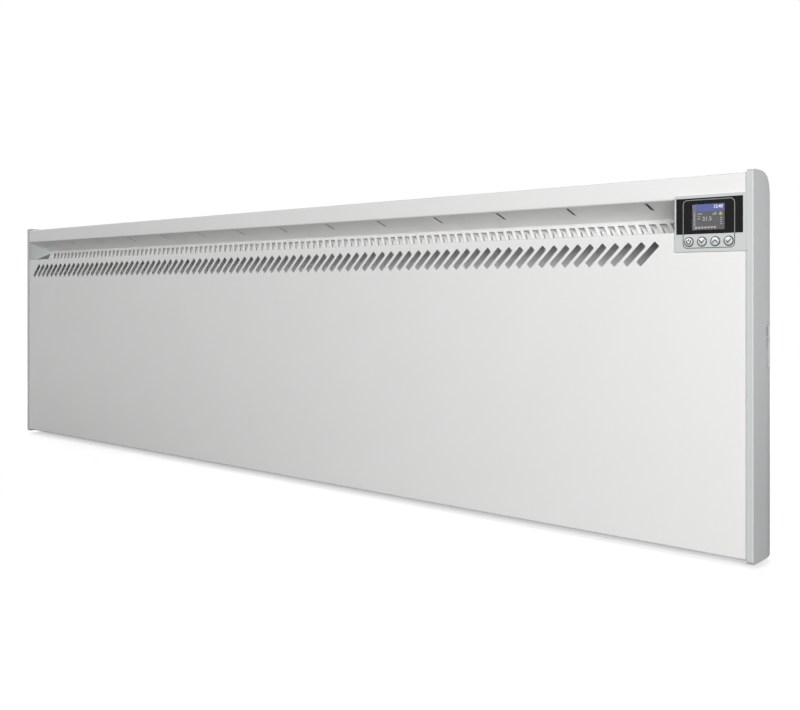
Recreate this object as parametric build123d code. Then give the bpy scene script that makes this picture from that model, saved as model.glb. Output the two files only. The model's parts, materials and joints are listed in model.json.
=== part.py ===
"""Wall panel convector heater, built as its separate pieces, in millimetres.

Frame: the origin is the centre of the wall screw pattern, on the wall plane. +X points right as
seen from the room, +Y into the wall, +Z up. Depths are counted from the front sheet's face back
towards the wall, and heights from the middle of the casing.
"""
from build123d import *
import math
import os

# ---------------------------------------------------------------- driving dimensions
# casing
VISIBLE_LENGTH = 1445.0      # front sheet seen between the end caps
CASING_HEIGHT = 400.0
CASING_DEPTH = 54.0
WALL_GAP = 26.0              # rear panel to wall
FRONT_SHEET = 0.8            # steel thickness
REAR_SHEET = 0.8
FRONT_BEND = 2.5             # outside radius of the front sheet's bends
TROUGH_BEND = 1.5
TOP_FLANGE = 20.0            # front sheet's flange over the top
BOTTOM_FLANGE = 50.0
REAR_TOP_FLANGE = 46.0       # rear panel's flanges, measured from its back
REAR_BOTTOM_FLANGE = 15.0
REAR_PANEL_SHORT = 0.5       # its ends inside the front sheet's visible ends
REAR_TOP_BEND = 33.0         # large bend along the top rear edge
REAR_BOTTOM_BEND = 2.0
SHEET_FIT = 0.15             # gap between sheets that lap
SEAT_GAP = 0.1               # gap between a screwed foot and the panel behind it
PAST = 1.0                   # how far a cutter runs past the face it enters

# air outlet trough along the top of the front: a falling ceiling, a flat floor and a steep back
TOP_BAND = 24.2              # front above the trough
MOUTH_HEIGHT = 35.2
CEILING_DROP = 16.8          # from the mouth's upper edge to the back
BACK_STRIP = 4.0             # upright strip at the very back
TROUGH_DEPTH = 47.5
TROUGH_FLOOR = 39.6          # flat part behind the front

# lanced louvre tabs in the trough's steep back
LOUVRE_PITCH = 13.17
LOUVRE_WIDTH = 8.4
LOUVRE_START = 1.5           # up the slope from its lower edge
LOUVRE_RUN = 14.2            # length along the slope
LOUVRE_SKEW = 0.66           # sideways shift for each millimetre up the slope
LOUVRE_TILT = 17.0           # degrees that a tab is pressed in
LOUVRE_LEFT_GAP = 2.1        # open beside a tab
LOUVRE_RIGHT_GAP = 0.3
LOUVRE_TOP_GAP = 1.9
LOUVRE_ROOT = 1.0            # part of a tab left in the sheet
LOUVRE_FROM_HOUSING = 33.5   # upper left corner of the first opening, from the housing
LOUVRE_END_MARGIN = 9.0

# slits in the trough ceiling
SLIT_PITCH = 100.0
SLIT_WIDTH = 4.0
SLIT_FRONT = 5.0
SLIT_BACK = 24.0
SLIT_FROM_HOUSING = 42.9
SLIT_END_MARGIN = 20.0

# diagonal air slots under the trough
AIR_SLOT_PITCH = 15.95
AIR_SLOT_LENGTH = 31.5
AIR_SLOT_WIDTH = 7.7
AIR_SLOT_CORNER = 1.6
AIR_SLOT_LEAN = 45.0
AIR_SLOT_BELOW_MOUTH = 22.4  # from the trough's lower edge to the row's centre line
AIR_SLOT_FROM_BEZEL = 32.3   # first slot's centre
AIR_SLOT_END_MARGIN = 25.0

# cold air intake in the bottom flange
INTAKE_PITCH = 20.0
INTAKE_LENGTH = 26.0
INTAKE_WIDTH = 11.0
INTAKE_CENTRE = 20.0         # depth of the row's centre line
INTAKE_END_MARGIN = 60.0
INTAKE_RIGHT_MARGIN = 150.0

# end caps
CAP_PROUD = 1.8              # in front of the sheet
CAP_OVER = 2.7               # above and below the sheet
CAP_STRIP = 6.0              # flat front strip
CAP_WIDEST = 7.9
CAP_WIDEST_DEPTH = 31.0
CAP_GRIP = 3.0               # how far the sheet goes into the cap
CAP_FIT = 0.2
CAP_REAR_WALL = 1.5
CAP_TOP_REAR_RADIUS = 36.0
CAP_FRONT_RADIUS = 4.0
CAP_POCKET_RADIUS = 1.0
CAP_EDGE_OUT = 1.2           # rounded edge beside the front strip, sideways
CAP_EDGE_BACK = 1.4
CAP_FRONT_CURVE_IN = 0.25    # side curve's middle, in from the widest line
CAP_FRONT_CURVE_SHARE = 0.46  # its depth as a share of the widest line's
CAP_REAR_CURVE_IN = 0.8
CAP_REAR_CURVE_BACK = 11.0   # behind the widest line
CAP_SHOULDER_IN = 3.0        # start of the rear corner
CAP_SHOULDER_AHEAD = 2.0
CAP_REAR_CORNER_IN = 3.7
CAP_REAR_CORNER_AHEAD = 0.7
CAP_REAR_FLAT_IN = 5.3       # start of the flat rear
CAP_HOLLOW = 3.0             # depth of the hollow beside the trough's floor
CAP_HOLLOW_FRONT = 15.0      # its front corner, behind the sheet's face
SEAL_FIT = 0.1               # between the seal and the hollow's walls
CAP_BOSS_FROM_BOTTOM = 35.0
CAP_BOSS_FROM_TOP = 105.0
CAP_BOSS = 12.0
CAP_BOSS_LENGTH = 18.0
CAP_BOSS_REACH = 15.0        # from the cap's pocket floor into the casing
CAP_BOSS_ROOT = 0.5          # part of a boss within the cap

# control housing at the right end of the trough
BEZEL_PAST_HOUSING = 5.9     # bezel's overlap on the sheet at the left
BEZEL_HEIGHT = 60.2
BEZEL_OVER_MOUTH = 3.5       # its top above the trough's upper edge
BEZEL_CORNER = 1.2
BEZEL_RIGHT_GAP = 0.15
HOUSING_FRONT = 2.6          # thickness of its front wall
HOUSING_WALL = 2.0
HOUSING_SIDE_GAP = 1.9       # first button's flange to the side wall
HOUSING_INSET = 1.65         # bezel's overlap on the sheet above and below
HOUSING_FIT = 0.5            # between the housing and the notch in the sheet
HOUSING_TONGUE_SHORT = 0.3   # of the cap's pocket floor
HOUSING_TONGUE_DEPTH = 0.2   # behind the front sheet's face
HOUSING_FOOT = 14.0
HOUSING_FOOT_THICK = 8.0
HOUSING_REAR_CORNER = 14.0   # cut away under the casing's large bend
HOUSING_SCREWS = (7.0, 29.0)  # above the housing's floor
WINDOW_SIDE = 1.7            # bezel left of the window
WINDOW_RIGHT = 3.4           # window to the right cap
WINDOW_BELOW_BEZEL = 3.2
WINDOW_HEIGHT = 38.3
WINDOW_THICK = 0.95
WINDOW_FIT = 0.1
WINDOW_SUNK = 0.1            # behind the bezel's face
DISPLAY_LEFT = 57.7
DISPLAY_RIGHT = 23.2
DISPLAY_BELOW_WINDOW = 7.0
DISPLAY_HEIGHT = 26.8
DISPLAY_BORDER = 3.0
DISPLAY_CLEARANCE = 1.0      # opening in the housing, round the screen
DISPLAY_INTO_HOUSING = 1.2   # screen within the housing's front wall
BOARD_THICK = 1.6
BOARD_DEPTH = 9.0            # front face of the control board
BOARD_MARGIN = 0.6
BOARD_SCREW_LOW = 1.0        # lower screws above the housing's floor
BOARD_SCREW_HIGH = 2.0       # upper ones below its roof
BOARD_SCREW_LEFT = 3.5       # from the side wall
BOARD_SCREW_RIGHT = 6.5      # from the right cap
CONNECTOR_RIGHT = 6.0        # of the board's left edge
CONNECTOR_ABOVE_BUTTONS = 18.0
CONNECTOR_SIZE = (20.0, 6.0, 6.0)  # wide, deep, high
BUTTON_RADIUS = 5.2
BUTTON_FIT = 0.15
BUTTON_PROUD = 0.8
BUTTON_TRAVEL = 0.9
BUTTON_GAP = 4.0             # between neighbouring buttons
BUTTON_ROW_FROM_RIGHT = 39.9  # middle of the row
BUTTON_LIP = 1.1             # flange wider than the button
BUTTON_FLANGE_GAP = 0.65     # flange to the housing's floor
BUTTON_FLANGE = 1.0
BUTTON_ROUND = 0.5
BUTTON_STEM_RADIUS = 1.6
BUTTON_STEM_GAP = 0.1        # to the key's plunger at full travel
BUTTONS = ("power_button", "down_button", "up_button", "confirm_button")
KEY_SWITCH = 6.2             # square body under each button
KEY_SWITCH_HEIGHT = 3.5
KEY_PLUNGER = 0.9
HOUSING_BOSS_RADIUS = 2.6

# mains switch in the right cap
SWITCH_DEPTH = 39.5          # of its centre line
SWITCH_WIDTH = 12.6
SWITCH_BOTTOM = -2.5
SWITCH_TOP = 42.8
SWITCH_FLANGE = 1.6
SWITCH_SUNK = 2.2            # its flange below the cap's widest line
SWITCH_BODY_REACH = 20.0     # body behind the flange
SWITCH_WALL = 1.5
SWITCH_FIT = 0.2
SWITCH_BASE = 4.0
SWITCH_TAG = (7.0, 0.8, 4.8)  # long, thick, wide
SWITCH_TAG_HEIGHTS = (4.0, 12.0, 20.0)
LENS_HEIGHT = 13.8           # indicator's part of the switch
ROCKER_FIT = 0.3
ROCKER_PROUD = 1.2
ROCKER_TILT = 16.0
ROCKER_DIP = 1.4             # middle of its face below the flange
ROCKER_INSET = 0.8           # its ends in from its well
ROCKER_SIDE = 2.5            # depth of its ends
ROCKER_ROOT = 3.0            # its narrow part, behind and beside the axle
ROCKER_AXLE_RADIUS = 1.5
ROCKER_AXLE_SUNK = 4.0
ROCKER_AXLE_FIT = 0.05
LENS_FIT = 0.1
LENS_DEEP = 6.0
LENS_PROUD = 0.4
LENS_ROUND = 0.35

# heating elements
ELEMENTS_ABOVE_BOTTOM = (95.0, 155.0)
ELEMENT_DEPTH = 23.5
ELEMENT_FROM_LEFT = 82.5
ELEMENT_TO_PARTITION = 51.0
FIN_SPAN = 38.0
FIN_THICK = 1.6
FIN_ANGLE = 38.0
UPRIGHT_FIN_SPAN = 30.4
ELEMENT_TUBE_RADIUS = 6.5
ROD_RADIUS = 4.0
ROD_FIT = 0.1
ROD_OVERHANG = 26.0
TERMINAL_RADIUS = 1.5
TERMINAL_LENGTH = 14.0
BUSH_RADIUS = 7.5
BUSH_HEAD_RADIUS = 9.5
BUSH_HEAD = 4.0
BUSH_LENGTH = 9.0
BUSH_FIT = 0.1
ELEMENT_END_GAP = 6.0        # from the fins to the bracket
BRACKET_SHEET = 1.0
BRACKET_FLANGE = 16.0
BRACKET_MARGIN = 26.0        # bracket above and below the element centres
BRACKET_FRONT = 4.0          # its front edge behind the front sheet's face
BRACKET_SCREW_EDGE = 8.0

# electronics chamber
CHAMBER_WIDTH = 126.5        # partition to the right cap
PARTITION_BELOW_MOUTH = 44.6
PARTITION_FLANGE = 12.0
PARTITION_SCREWS = (50.0, 140.0, 260.0)   # above the bottom
PARTITION_FOOT = 6.0
PARTITION_FRONT = 2.0
GROMMET_HOLE = 6.0           # radii
GROMMET_OUTER = 8.0
GROMMET_GROOVE = 5.9
GROMMET_BORE = 4.0
GROMMET_LIP = 1.4            # thickness of each of its lips
SHIELD_ABOVE_BOTTOM = 50.0
SHIELD_HEIGHT = 160.0
SHIELD_MARGIN = 15.0         # element's ends past the shield
SHIELD_LIP = 6.0
SHIELD_STANDOFF = 8.9
SHIELD_STANDOFF_COUNT = 4
SHIELD_STANDOFF_INSET = 65.0
SHIELD_STANDOFF_EDGE = 15.0
SHIELD_STANDOFF_RADIUS = 3.5
SHIELD_SCREW_PAST = 3.0      # screw's end in front of the shield
POWER_BOARD_WIDTH = 84.0
POWER_BOARD_HEIGHT = 130.0
POWER_BOARD_FROM_PARTITION = 14.0
POWER_BOARD_ABOVE_BOTTOM = 60.0
POWER_BOARD_STANDOFF = 11.6
STANDOFF_RADIUS = 3.5
BOARD_HOLE_INSET = 6.0
# parts on the power board: right, width, up, height and how tall, from its lower left corner
RELAY = (14, 29, 80, 22, 16)
RELAY_ROUND = 1.0
TRANSFORMER = (50, 28, 76, 34, 20)
TRANSFORMER_CORE = (54, 20, 72, 42, 14)
FILTER_BOX = (52, 22, 50, 8, 13)
CAPACITOR_RADIUS = 5.0
CAPACITORS_RIGHT = (24.0, 37.0)
CAPACITORS_UP = 56.0
CAPACITOR_TALL = 18.0
TERMINALS = (14, 56, 18, 16, 15)
TERMINAL_WAYS = 6
TERMINAL_PITCH = 8.8
TERMINAL_FIRST = 6.0         # first way's centre from the block's left end
TERMINAL_SCREW_RADIUS = 2.2
TERMINAL_SCREW_UP = 10.0
TERMINAL_SCREW_SUNK = 5.0
TERMINAL_MOUTH = (4.4, 5.0, 7.0)  # wide, deep, high
TERMINAL_MOUTH_DEPTH = 6.0   # from the block's face
# disc thermostat on the shield's upper edge
CUTOUT_X = -60.0
CUTOUT_ABOVE_SHIELD = 14.0
CUTOUT_PLATE_THICK = 2.0
CUTOUT_PLATE_WIDTH = 34.0
CUTOUT_PLATE_UNDER = 32.0
CUTOUT_PLATE_OVER = 9.0
CUTOUT_DISC_RADIUS = 8.5
CUTOUT_DISC = 9.0
CUTOUT_TAB = (0.8, 7.0, 6.0)  # thick, long, wide
CUTOUT_TAB_SPACING = 10.0
SENSOR_FROM_RIGHT = 62.5
SENSOR_ABOVE_BOTTOM = 32.0
SENSOR_DEPTH = 20.0
SENSOR_RADIUS = 2.5
SENSOR_LENGTH = 24.0
SENSOR_TIP_ROUND = 1.2
CLIP_WALL = 1.4
CLIP_FIT = 0.1
CLIP_MOUTH = 3.2
CLIP_UP = 12.0               # clip's start above the sensor's lower end
CLIP_HEIGHT = 8.0
CLIP_ARM = 1.6
CLIP_FOOT = (1.5, 16.0, 12.0)  # thick, deep, high

# cable gland in the bottom, for the mains lead
GLAND_FROM_RIGHT = 67.5
GLAND_FROM_BACK = 11.0
GLAND_BORE = 3.75
GLAND_SLEEVE = 7.0
GLAND_FIT = 0.15
GLAND_HEAD_RADIUS = 10.0
GLAND_HEAD = 5.0
GLAND_INSIDE = 14.0
GLAND_HEAD_ROUND = 1.5
GLAND_SEAT = 0.1
GLAND_NUT = 5.0
GLAND_NUT_RADIUS = 9.8       # across its corners
GLAND_NUT_FIT = 0.05

# wall brackets
WALL_SCREW_SPACING_X = 900.0
WALL_SCREW_SPACING_Z = 200.0
WALL_HOLE_RADIUS = 3.0
WALL_BRACKET_SHEET = 1.5
WALL_BRACKET_WIDTH = 44.0
WALL_BRACKET_OVER = 25.0     # above the upper wall screw
WALL_BRACKET_UNDER = 50.0    # below the lower one
WALL_BRACKET_FIT = 0.5       # bracket's edge to the rear panel
HOOK_BELOW_SCREW = 25.0      # each hook below a wall screw
HOOK_NECK = 7.0
HOOK_TIP = 10.0
HOOK_TIP_THICK = 2.0
HOOK_PANEL_GAP = 0.7
HOOK_ROOT = 1.0              # of the neck within the bracket's flange
HOOK_CHAMFER = 1.5
HOOK_LEAD = 2.0              # slope that guides the tip behind the panel
HOOK_LEAD_IN = 0.6
LIFT_TRAVEL = 12.0           # lift that frees the hooks
HOOK_SLOT_WIDTH = 3.0
HOOK_SEAT = 0.3
HOOK_SPARE = 1.0             # slot's length past the lift
WALL_WINDOW_WIDTH = 24.0     # opening in the middle of each bracket
WALL_WINDOW_HEIGHT = 120.0

# fasteners
SCREW_RADIUS = 1.45
PILOT_RADIUS = 1.5
SCREW_CLEARANCE_RADIUS = 1.8
SCREW_HEAD_RADIUS = 3.4
SCREW_HEAD = 2.2
SCREW_SOCKET = 1.5
SCREW_HEAD_ROUND = 1.0
SCREW_SOCKET_DEEP = 1.2
SHEET_SCREW = 5.0            # lengths under the head
FLANGE_SCREW = 6.0
HOUSING_SCREW = 8.0
CAP_SCREW = 13.0
FLANGE_SCREW_EDGE = 5.0
FLANGE_SCREWS = 7
FLANGE_SCREW_MARGIN = 40.0
RIVET_EDGE = 6.0
RIVET_RADIUS = 1.7
RIVET_HEAD_RADIUS = 3.2
RIVET_HEAD = 1.0
RIVET_HEAD_ROUND = 0.6
RIVET_TAIL_RADIUS = 2.6
RIVET_TAIL = 1.6

# ---------------------------------------------------------------- derived places
FRONT_Y = -(WALL_GAP + CASING_DEPTH)
REAR_Y = -WALL_GAP
TOP_Z = CASING_HEIGHT / 2
BOTTOM_Z = -CASING_HEIGHT / 2
RIGHT_X = VISIBLE_LENGTH / 2
REAR_INNER_DEPTH = CASING_DEPTH - REAR_SHEET
LAP = FRONT_SHEET + SHEET_FIT + REAR_SHEET
TROUGH_TOP = TOP_Z - TOP_BAND
TROUGH_BACK_TOP = TROUGH_TOP - CEILING_DROP
TROUGH_BACK_BOTTOM = TROUGH_BACK_TOP - BACK_STRIP
TROUGH_BOTTOM = TROUGH_TOP - MOUTH_HEIGHT
SLOPE_ANGLE = math.atan2(TROUGH_BACK_BOTTOM - TROUGH_BOTTOM, TROUGH_DEPTH - TROUGH_FLOOR)
AIR_SLOT_HEIGHT = TROUGH_BOTTOM - AIR_SLOT_BELOW_MOUTH
FLANGE_SCREW_DEPTH = BOTTOM_FLANGE - FLANGE_SCREW_EDGE
RIVET_DEPTH = TOP_FLANGE - RIVET_EDGE
CAP_BOSS_HEIGHTS = (BOTTOM_Z + CAP_BOSS_FROM_BOTTOM, TOP_Z - CAP_BOSS_FROM_TOP)
CAP_FLOOR_X = RIGHT_X + CAP_GRIP + CAP_FIT

BEZEL_TOP = TROUGH_TOP + BEZEL_OVER_MOUTH
BEZEL_BOTTOM = BEZEL_TOP - BEZEL_HEIGHT
HOUSING_TOP = BEZEL_TOP - HOUSING_INSET
HOUSING_BOTTOM = BEZEL_BOTTOM + HOUSING_INSET
HOUSING_BACK = HOUSING_FRONT - CAP_PROUD
BUTTON_PITCH = 2 * BUTTON_RADIUS + BUTTON_GAP
BUTTON_HALF_ROW = BUTTON_PITCH * (len(BUTTONS) - 1) / 2
BUTTON_ROW_X = RIGHT_X - BUTTON_ROW_FROM_RIGHT
BUTTON_FLANGE_RADIUS = BUTTON_RADIUS + BUTTON_LIP
HOUSING_WALL_X = BUTTON_ROW_X - BUTTON_HALF_ROW - BUTTON_FLANGE_RADIUS - HOUSING_SIDE_GAP - HOUSING_WALL
BEZEL_LEFT_X = HOUSING_WALL_X - BEZEL_PAST_HOUSING
HOUSING_SCREW_HEIGHTS = tuple(HOUSING_BOTTOM + z for z in HOUSING_SCREWS)
WINDOW_TOP = BEZEL_TOP - WINDOW_BELOW_BEZEL
WINDOW_BOTTOM = WINDOW_TOP - WINDOW_HEIGHT
DISPLAY_TOP = WINDOW_TOP - DISPLAY_BELOW_WINDOW
DISPLAY_BOTTOM = DISPLAY_TOP - DISPLAY_HEIGHT
BUTTON_HEIGHT = HOUSING_BOTTOM + HOUSING_WALL + BUTTON_FLANGE_GAP + BUTTON_FLANGE_RADIUS
SWITCH_FACE_X = RIGHT_X + CAP_WIDEST - SWITCH_SUNK
ROCKER_TOP = SWITCH_TOP - LENS_HEIGHT

PARTITION_X = RIGHT_X - CHAMBER_WIDTH
PARTITION_TOP = TROUGH_BOTTOM - PARTITION_BELOW_MOUTH
ELEMENT_HEIGHTS = tuple(BOTTOM_Z + z for z in ELEMENTS_ABOVE_BOTTOM)
GROMMET_HEIGHT = sum(ELEMENT_HEIGHTS) / 2
ELEMENT_LEFT = -RIGHT_X + ELEMENT_FROM_LEFT
ELEMENT_RIGHT = PARTITION_X - ELEMENT_TO_PARTITION
SHIELD_DEPTH = REAR_INNER_DEPTH - SHIELD_STANDOFF - REAR_SHEET
SHIELD_BOTTOM = BOTTOM_Z + SHIELD_ABOVE_BOTTOM
SHIELD_TOP = SHIELD_BOTTOM + SHIELD_HEIGHT
POWER_BOARD_DEPTH = REAR_INNER_DEPTH - POWER_BOARD_STANDOFF - BOARD_THICK
POWER_BOARD_LEFT = PARTITION_X + POWER_BOARD_FROM_PARTITION
POWER_BOARD_RIGHT = POWER_BOARD_LEFT + POWER_BOARD_WIDTH
POWER_BOARD_BOTTOM = BOTTOM_Z + POWER_BOARD_ABOVE_BOTTOM
POWER_BOARD_TOP = POWER_BOARD_BOTTOM + POWER_BOARD_HEIGHT
SENSOR_X = RIGHT_X - SENSOR_FROM_RIGHT
SENSOR_HEIGHT = BOTTOM_Z + SENSOR_ABOVE_BOTTOM
GLAND_X = RIGHT_X - GLAND_FROM_RIGHT
GLAND_DEPTH = CASING_DEPTH - GLAND_FROM_BACK
BRACKET_XS = (-WALL_SCREW_SPACING_X / 2, WALL_SCREW_SPACING_X / 2)
WALL_SCREW_HEIGHTS = (WALL_SCREW_SPACING_Z / 2, -WALL_SCREW_SPACING_Z / 2)
HOOK_HEIGHTS = tuple(z - HOOK_BELOW_SCREW for z in WALL_SCREW_HEIGHTS)


# ---------------------------------------------------------------- helpers
def at_depth(depth):
    """y of a place this far behind the front sheet's face."""
    return FRONT_Y + depth


def block(x, depth, z):
    """A box from (low, high) pairs of x, depth and z."""
    size = (x[1] - x[0], depth[1] - depth[0], z[1] - z[0])
    centre = ((x[0] + x[1]) / 2, at_depth((depth[0] + depth[1]) / 2), (z[0] + z[1]) / 2)
    return Pos(*centre) * Box(*size)


def rod(radius, start, direction, length):
    """A cylinder from start, given as (x, depth, z), along direction."""
    plane = Plane(origin=(start[0], at_depth(start[1]), start[2]), z_dir=direction)
    return plane * Cylinder(radius, length, align=(Align.CENTER, Align.CENTER, Align.MIN))


def drill(radius, start, direction, length):
    """A rod that also runs past its start and its end, to cut with."""
    before = tuple(s - d * PAST for s, d in zip(start, direction))
    return rod(radius, before, direction, length + 2 * PAST)


def bent_sheet(points, radii, thickness, x_low, x_high):
    """Sheet bent along X from the (depth, z) points of its outer face."""
    path = FilletPolyline(*[(at_depth(d), z) for d, z in points], radius=radii)
    outline = offset(path, amount=thickness, side=Side.LEFT, closed=True)
    return extrude(Plane.YZ.offset(x_low) * make_face(outline), x_high - x_low)


def screw(start, direction, length):
    """Round-headed screw: start is under its head, direction points along its shank."""
    head_way = tuple(-c for c in direction)
    head = rod(SCREW_HEAD_RADIUS, start, head_way, SCREW_HEAD)
    rim = head.edges().group_by(Axis(head.center(), head_way))[-1]
    head = fillet(rim, SCREW_HEAD_ROUND)
    top = tuple(s + h * SCREW_HEAD for s, h in zip(start, head_way))
    plane = Plane(origin=(top[0], at_depth(top[1]), top[2]), z_dir=direction)
    socket = extrude(plane * RegularPolygon(SCREW_SOCKET, 6), SCREW_SOCKET_DEEP)
    return head + rod(SCREW_RADIUS, start, direction, length) - socket


def spread(first, last, count):
    """Evenly spaced places from first to last."""
    return [first + (last - first) * i / (count - 1) for i in range(count)]


def row_to_left(first, pitch, end_margin):
    """x of a row that starts at first and fills the sheet to its left end."""
    count = int((first + RIGHT_X - end_margin) / pitch) + 1
    return [first - pitch * i for i in range(count)]


def mirrored(part):
    return part.mirror(Plane.YZ)


# ---------------------------------------------------------------- front panel
def flange_screw_places():
    return spread(-RIGHT_X + FLANGE_SCREW_MARGIN, RIGHT_X - FLANGE_SCREW_MARGIN, FLANGE_SCREWS)


def front_profile():
    points = [
        (TOP_FLANGE, TOP_Z), (0, TOP_Z), (0, TROUGH_TOP), (TROUGH_DEPTH, TROUGH_BACK_TOP),
        (TROUGH_DEPTH, TROUGH_BACK_BOTTOM), (TROUGH_FLOOR, TROUGH_BOTTOM), (0, TROUGH_BOTTOM),
        (0, BOTTOM_Z), (BOTTOM_FLANGE, BOTTOM_Z),
    ]
    radii = [FRONT_BEND, FRONT_BEND, TROUGH_BEND, TROUGH_BEND, FRONT_BEND, FRONT_BEND, FRONT_BEND]
    return points, radii


def air_slots():
    slot = extrude(
        Plane(origin=(0, FRONT_Y - PAST, 0), x_dir=(1, 0, 0), z_dir=(0, -1, 0))
        * RectangleRounded(AIR_SLOT_LENGTH, AIR_SLOT_WIDTH, AIR_SLOT_CORNER, rotation=AIR_SLOT_LEAN),
        -(FRONT_SHEET + 2 * PAST),
    )
    places = row_to_left(BEZEL_LEFT_X - AIR_SLOT_FROM_BEZEL, AIR_SLOT_PITCH, AIR_SLOT_END_MARGIN)
    return [Pos(x, 0, AIR_SLOT_HEIGHT) * slot for x in places]


def louvre_places():
    return row_to_left(HOUSING_WALL_X - LOUVRE_FROM_HOUSING, LOUVRE_PITCH, LOUVRE_END_MARGIN)


def louvre_outline(left, right, low, high):
    """Skewed outline between two heights up the slope; x = 0 is the opening's upper left corner."""
    foot, head = LOUVRE_SKEW * (LOUVRE_RUN - low), LOUVRE_SKEW * (LOUVRE_RUN - high)
    return make_face(Polyline(
        (foot + left, low), (foot + right, low), (head + right, high), (head + left, high), close=True,
    ))


def slope_plane(up_slope, tilt=0.0):
    """Plane on the trough's steep back: its y runs up the slope, its z out into the trough."""
    angle = SLOPE_ANGLE - math.radians(tilt)
    y = at_depth(TROUGH_FLOOR) + up_slope * math.cos(SLOPE_ANGLE)
    z = TROUGH_BOTTOM + up_slope * math.sin(SLOPE_ANGLE)
    return Plane(origin=(0, y, z), x_dir=(1, 0, 0), z_dir=(0, -math.sin(angle), math.cos(angle)))


def louvre_openings():
    outline = louvre_outline(0, LOUVRE_WIDTH, 0, LOUVRE_RUN)
    opening = extrude(slope_plane(LOUVRE_START) * outline, FRONT_SHEET * 2, both=True)
    return [Pos(x, 0, 0) * opening for x in louvre_places()]


def louvre_tabs():
    outline = louvre_outline(
        LOUVRE_LEFT_GAP, LOUVRE_WIDTH - LOUVRE_RIGHT_GAP, -LOUVRE_ROOT, LOUVRE_RUN - LOUVRE_TOP_GAP,
    )
    hinge = slope_plane(LOUVRE_START - LOUVRE_ROOT, LOUVRE_TILT)
    tab = extrude(hinge * Pos(0, LOUVRE_ROOT) * outline, -FRONT_SHEET)
    return [Pos(x, 0, 0) * tab for x in louvre_places()]


def ceiling_slits():
    places = row_to_left(HOUSING_WALL_X - SLIT_FROM_HOUSING, SLIT_PITCH, SLIT_END_MARGIN)
    half = SLIT_WIDTH / 2
    return [
        block((x - half, x + half), (SLIT_FRONT, SLIT_BACK), (TROUGH_BACK_TOP, TROUGH_TOP + 2 * FRONT_SHEET))
        for x in places
    ]


def intake_slots():
    slot = extrude(
        Plane(origin=(0, at_depth(INTAKE_CENTRE), BOTTOM_Z - PAST))
        * SlotOverall(INTAKE_LENGTH, INTAKE_WIDTH, rotation=90),
        FRONT_SHEET + 2 * PAST,
    )
    left, right = -RIGHT_X + INTAKE_END_MARGIN, RIGHT_X - INTAKE_RIGHT_MARGIN
    count = int((right - left) / INTAKE_PITCH) + 1
    return [Pos(left + INTAKE_PITCH * i, 0, 0) * slot for i in range(count)]


def control_notch():
    return block(
        (HOUSING_WALL_X - HOUSING_FIT, RIGHT_X + CAP_GRIP + PAST),
        (-PAST, TROUGH_DEPTH + PAST),
        (HOUSING_BOTTOM - HOUSING_FIT, HOUSING_TOP + HOUSING_FIT),
    )


def flange_holes(radius):
    return [drill(radius, (x, FLANGE_SCREW_DEPTH, BOTTOM_Z), (0, 0, 1), LAP) for x in flange_screw_places()]


def rivet_holes():
    return [
        drill(SCREW_CLEARANCE_RADIUS, (x, RIVET_DEPTH, TOP_Z), (0, 0, -1), LAP) for x in flange_screw_places()
    ]


def gland_hole():
    return drill(GLAND_SLEEVE + GLAND_FIT, (GLAND_X, GLAND_DEPTH, BOTTOM_Z), (0, 0, 1), LAP)


def front_panel():
    points, radii = front_profile()
    end = RIGHT_X + CAP_GRIP
    sheet = bent_sheet(points, radii, FRONT_SHEET, -end, end)
    sheet = sheet.cut(
        control_notch(), gland_hole(), *air_slots(), *louvre_openings(), *ceiling_slits(),
        *intake_slots(), *flange_holes(SCREW_CLEARANCE_RADIUS), *rivet_holes(),
    )
    return sheet.fuse(*louvre_tabs())


# ---------------------------------------------------------------- rear panel
def hook_xs(centre):
    """Middle of the bracket's two side flanges, whose hooks enter the rear panel."""
    inset = WALL_BRACKET_WIDTH / 2 - WALL_BRACKET_SHEET / 2
    return (centre - inset, centre + inset)


def hook_slots():
    slots = []
    for centre in BRACKET_XS:
        for x in hook_xs(centre):
            for z in HOOK_HEIGHTS:
                slots.append(block(
                    (x - HOOK_SLOT_WIDTH / 2, x + HOOK_SLOT_WIDTH / 2),
                    (REAR_INNER_DEPTH - PAST, CASING_DEPTH + PAST),
                    (z - HOOK_NECK - LIFT_TRAVEL - HOOK_SPARE, z + HOOK_SEAT),
                ))
    return slots


def cap_screw_x():
    return CAP_FLOOR_X - CAP_BOSS_REACH + CAP_BOSS / 2


def shield_standoff_places():
    inset = SHIELD_MARGIN + SHIELD_STANDOFF_INSET
    xs = spread(ELEMENT_LEFT + inset, ELEMENT_RIGHT - inset, SHIELD_STANDOFF_COUNT)
    edge = SHIELD_STANDOFF_EDGE
    return [(x, z) for x in xs for z in (SHIELD_BOTTOM + edge, SHIELD_TOP - edge)]


def power_board_places():
    return [
        (x, z)
        for x in (POWER_BOARD_LEFT + BOARD_HOLE_INSET, POWER_BOARD_RIGHT - BOARD_HOLE_INSET)
        for z in (POWER_BOARD_BOTTOM + BOARD_HOLE_INSET, POWER_BOARD_TOP - BOARD_HOLE_INSET)
    ]


def element_bracket_screw_places():
    edge = BRACKET_MARGIN - BRACKET_SCREW_EDGE
    heights = (min(ELEMENT_HEIGHTS) - edge, max(ELEMENT_HEIGHTS) + edge)
    left = ELEMENT_LEFT - ELEMENT_END_GAP - BRACKET_FLANGE / 2
    right = ELEMENT_RIGHT + ELEMENT_END_GAP + BRACKET_FLANGE / 2
    return [(x, z) for x in (left, right) for z in heights]


def housing_screw_x():
    return HOUSING_WALL_X + (HOUSING_FOOT + HOUSING_WALL) / 2


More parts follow.
